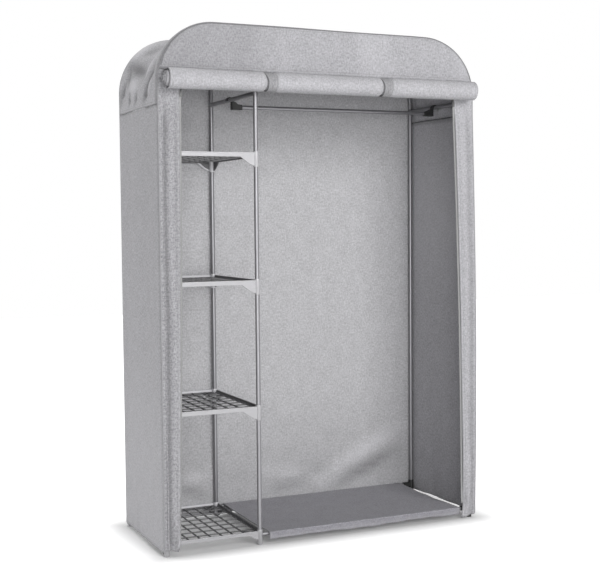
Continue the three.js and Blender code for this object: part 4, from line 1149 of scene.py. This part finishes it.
# Floor panel: a darker grey cloth sleeved over the two bottom rails of the hanging side, with a short
# skirt that falls over the front rail and another behind the back one.
panel_left = 339.0
panel_right = 1050.0
panel_top = 39.2
panel_round = 6.0
front_hem_z = 17.0
back_skirt_z = 18.0
front_line = -14.0
back_line = back_y + 9.4
floor_cloth = woven_cloth("floor_cloth", grey(0.21, 0.1), grey(0.37, 0.1))
x = np.linspace(panel_left, panel_right, 90)[:, None]
quarter = np.linspace(0, np.pi / 2, 7)
skirt = np.linspace(0, 1, 7)[:-1]
round_z = panel_top - panel_round
line_y = np.concatenate([
    np.full(6, front_line), front_line + panel_round * (1 - np.cos(quarter)),
    np.linspace(front_line + panel_round, back_line - panel_round, 46)[1:-1],
    back_line - panel_round + panel_round * np.sin(quarter), np.full(6, back_line),
])
line_z = np.concatenate([
    front_hem_z + (round_z - front_hem_z) * skirt, round_z + panel_round * np.sin(quarter),
    np.full(44, panel_top),
    round_z + panel_round * np.cos(quarter), back_skirt_z + (round_z - back_skirt_z) * skirt[::-1],
])
between = np.sin(np.pi * np.clip((line_y - 8) / (back_y - 16), 0, 1) * (line_z > panel_top - 1))
dip = 3.0 * between * (1 + 0.5 * ripples(x, line_y, 81, 90, 360))
ragged = 1.8 * ripples(x, 0, 83, 24, 160) * (line_z < 21)
wave = 0.8 * ripples(x, line_y, 85, 30, 120) * between
run = along(line_y, line_z)
hem = edge_distance(x - panel_left, run, panel_right - panel_left, run[-1])
places = joined(x, line_y, line_z - dip + ragged + wave)
piece = cloth_piece("floor_panel_cloth", places, joined(x, run), hem)
fit(piece, floor_cloth, "floor_cloth", "floor_panel")
selvedge_cloth = woven_cloth("selvedge_cloth", grey(0.24, 0.08), grey(0.5, 0.08), 1.6)
x = np.linspace(panel_left, panel_right, 160)
fray = ripples(x, 0, 87, 12, 50)
path = joined(x, front_line + 1.4 + 0.3 * fray, panel_top - 1.6 + 0.9 * fray)
sewn_cord("floor_panel_selvedge", path, 1.3, 11, selvedge_cloth, "floor_cloth")

# Studio: a white floor and five soft lamps: key (high in front), front (low), side (left), upper and rear.
# Floor and world are white for the camera and for reflections. Near the wardrobe the floor's own white
# fades, so that the shadow on it stays.
key_power = 205.0
front_power = 142.0
side_power = 22.0
upper_power = 42.0
rear_power = 26.0
sky_level = 0.12
ground_reach = 9000.0
ground_z = -0.4
shadow_centre = (0.01, -0.031, 0)
shadow_half = (0.552, 0.205, 0)
shadow_fade = 0.14


def seen_straight(finish):
    """1 on the camera's own rays and on what they meet by reflection or through glass, and 0 on others."""
    kinds = ("Is Camera Ray", "Is Glossy Ray", "Is Transmission Ray")
    from_camera, glossy, through = finish.add("LightPath", {}, output=kinds)
    return (from_camera + glossy + through).clipped()


def soft_lamp(name, place, target, width, height, power):
    """A rectangular lamp at a place, turned so that it faces a target."""
    lamp = bpy.data.lights.new(name, "AREA")
    lamp.shape = "RECTANGLE"
    lamp.size = width
    lamp.size_y = height
    lamp.energy = power
    holder = bpy.data.objects.new(name, lamp)
    aim = Vector(target) - Vector(place)
    holder.matrix_world = Matrix.Translation(place) @ aim.to_track_quat("-Z", "Y").to_matrix().to_4x4()
    scene.collection.objects.link(holder)


reach = np.array([-ground_reach, ground_reach])
floor = skin("floor", joined(reach[:, None], reach, ground_z), closed=False)
floor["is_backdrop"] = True
floor_finish = Finish("studio_floor", Base_Color=grey(0.80), Roughness=0.9, Emission_Strength=1.0)
place = floor_finish.object_place()
centred = floor_finish.add("VectorMath", {0: place, 1: shadow_centre}, operation="ADD")
mirrored = floor_finish.add("VectorMath", {0: centred}, operation="ABSOLUTE")
beyond = floor_finish.add("VectorMath", {0: mirrored, 1: shadow_half}, operation="SUBTRACT")
outside = floor_finish.add("VectorMath", {0: beyond, 1: (0, 0, 0)}, operation="MAXIMUM")
distance = floor_finish.add("VectorMath", {0: outside}, output="Value", operation="LENGTH")
white = (distance / shadow_fade).clipped() * 0.9 + 0.1
floor_finish.wire("Emission Color", seen_straight(floor_finish) * white)
floor.data.materials.append(floor_finish.material)
soft_lamp("key_lamp", (0.9, -6.0, 3.3), (0.1, 0, 0.9), 3.4, 2.4, key_power)
soft_lamp("front_lamp", (-1.4, -6.2, 0.95), (0.1, 0, 0.8), 3.4, 1.5, front_power)
soft_lamp("side_lamp", (-3.2, 0.85, 0.95), (-0.4, 0.1, 0.7), 2.0, 1.6, side_power)
soft_lamp("upper_lamp", (-1.6, 1.0, 4.2), (-0.55, 0.1, 1.5), 1.2, 1.2, upper_power)
soft_lamp("rear_lamp", (2.6, 3.2, 2.2), (0, 0, 0.9), 2.0, 1.8, rear_power)
sky = Finish("studio", "worlds", "Background", Color=(1, 1, 1, 1))
sky.wire("Strength", seen_straight(sky) * (1 - sky_level) + sky_level)
scene.world = sky.material
scene.view_settings.view_transform = "Standard"

boxes = {"drawn": drawn_bounds, "dressed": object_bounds()}
{name: [list(corner) for corner in box] for name, box in boxes.items()}
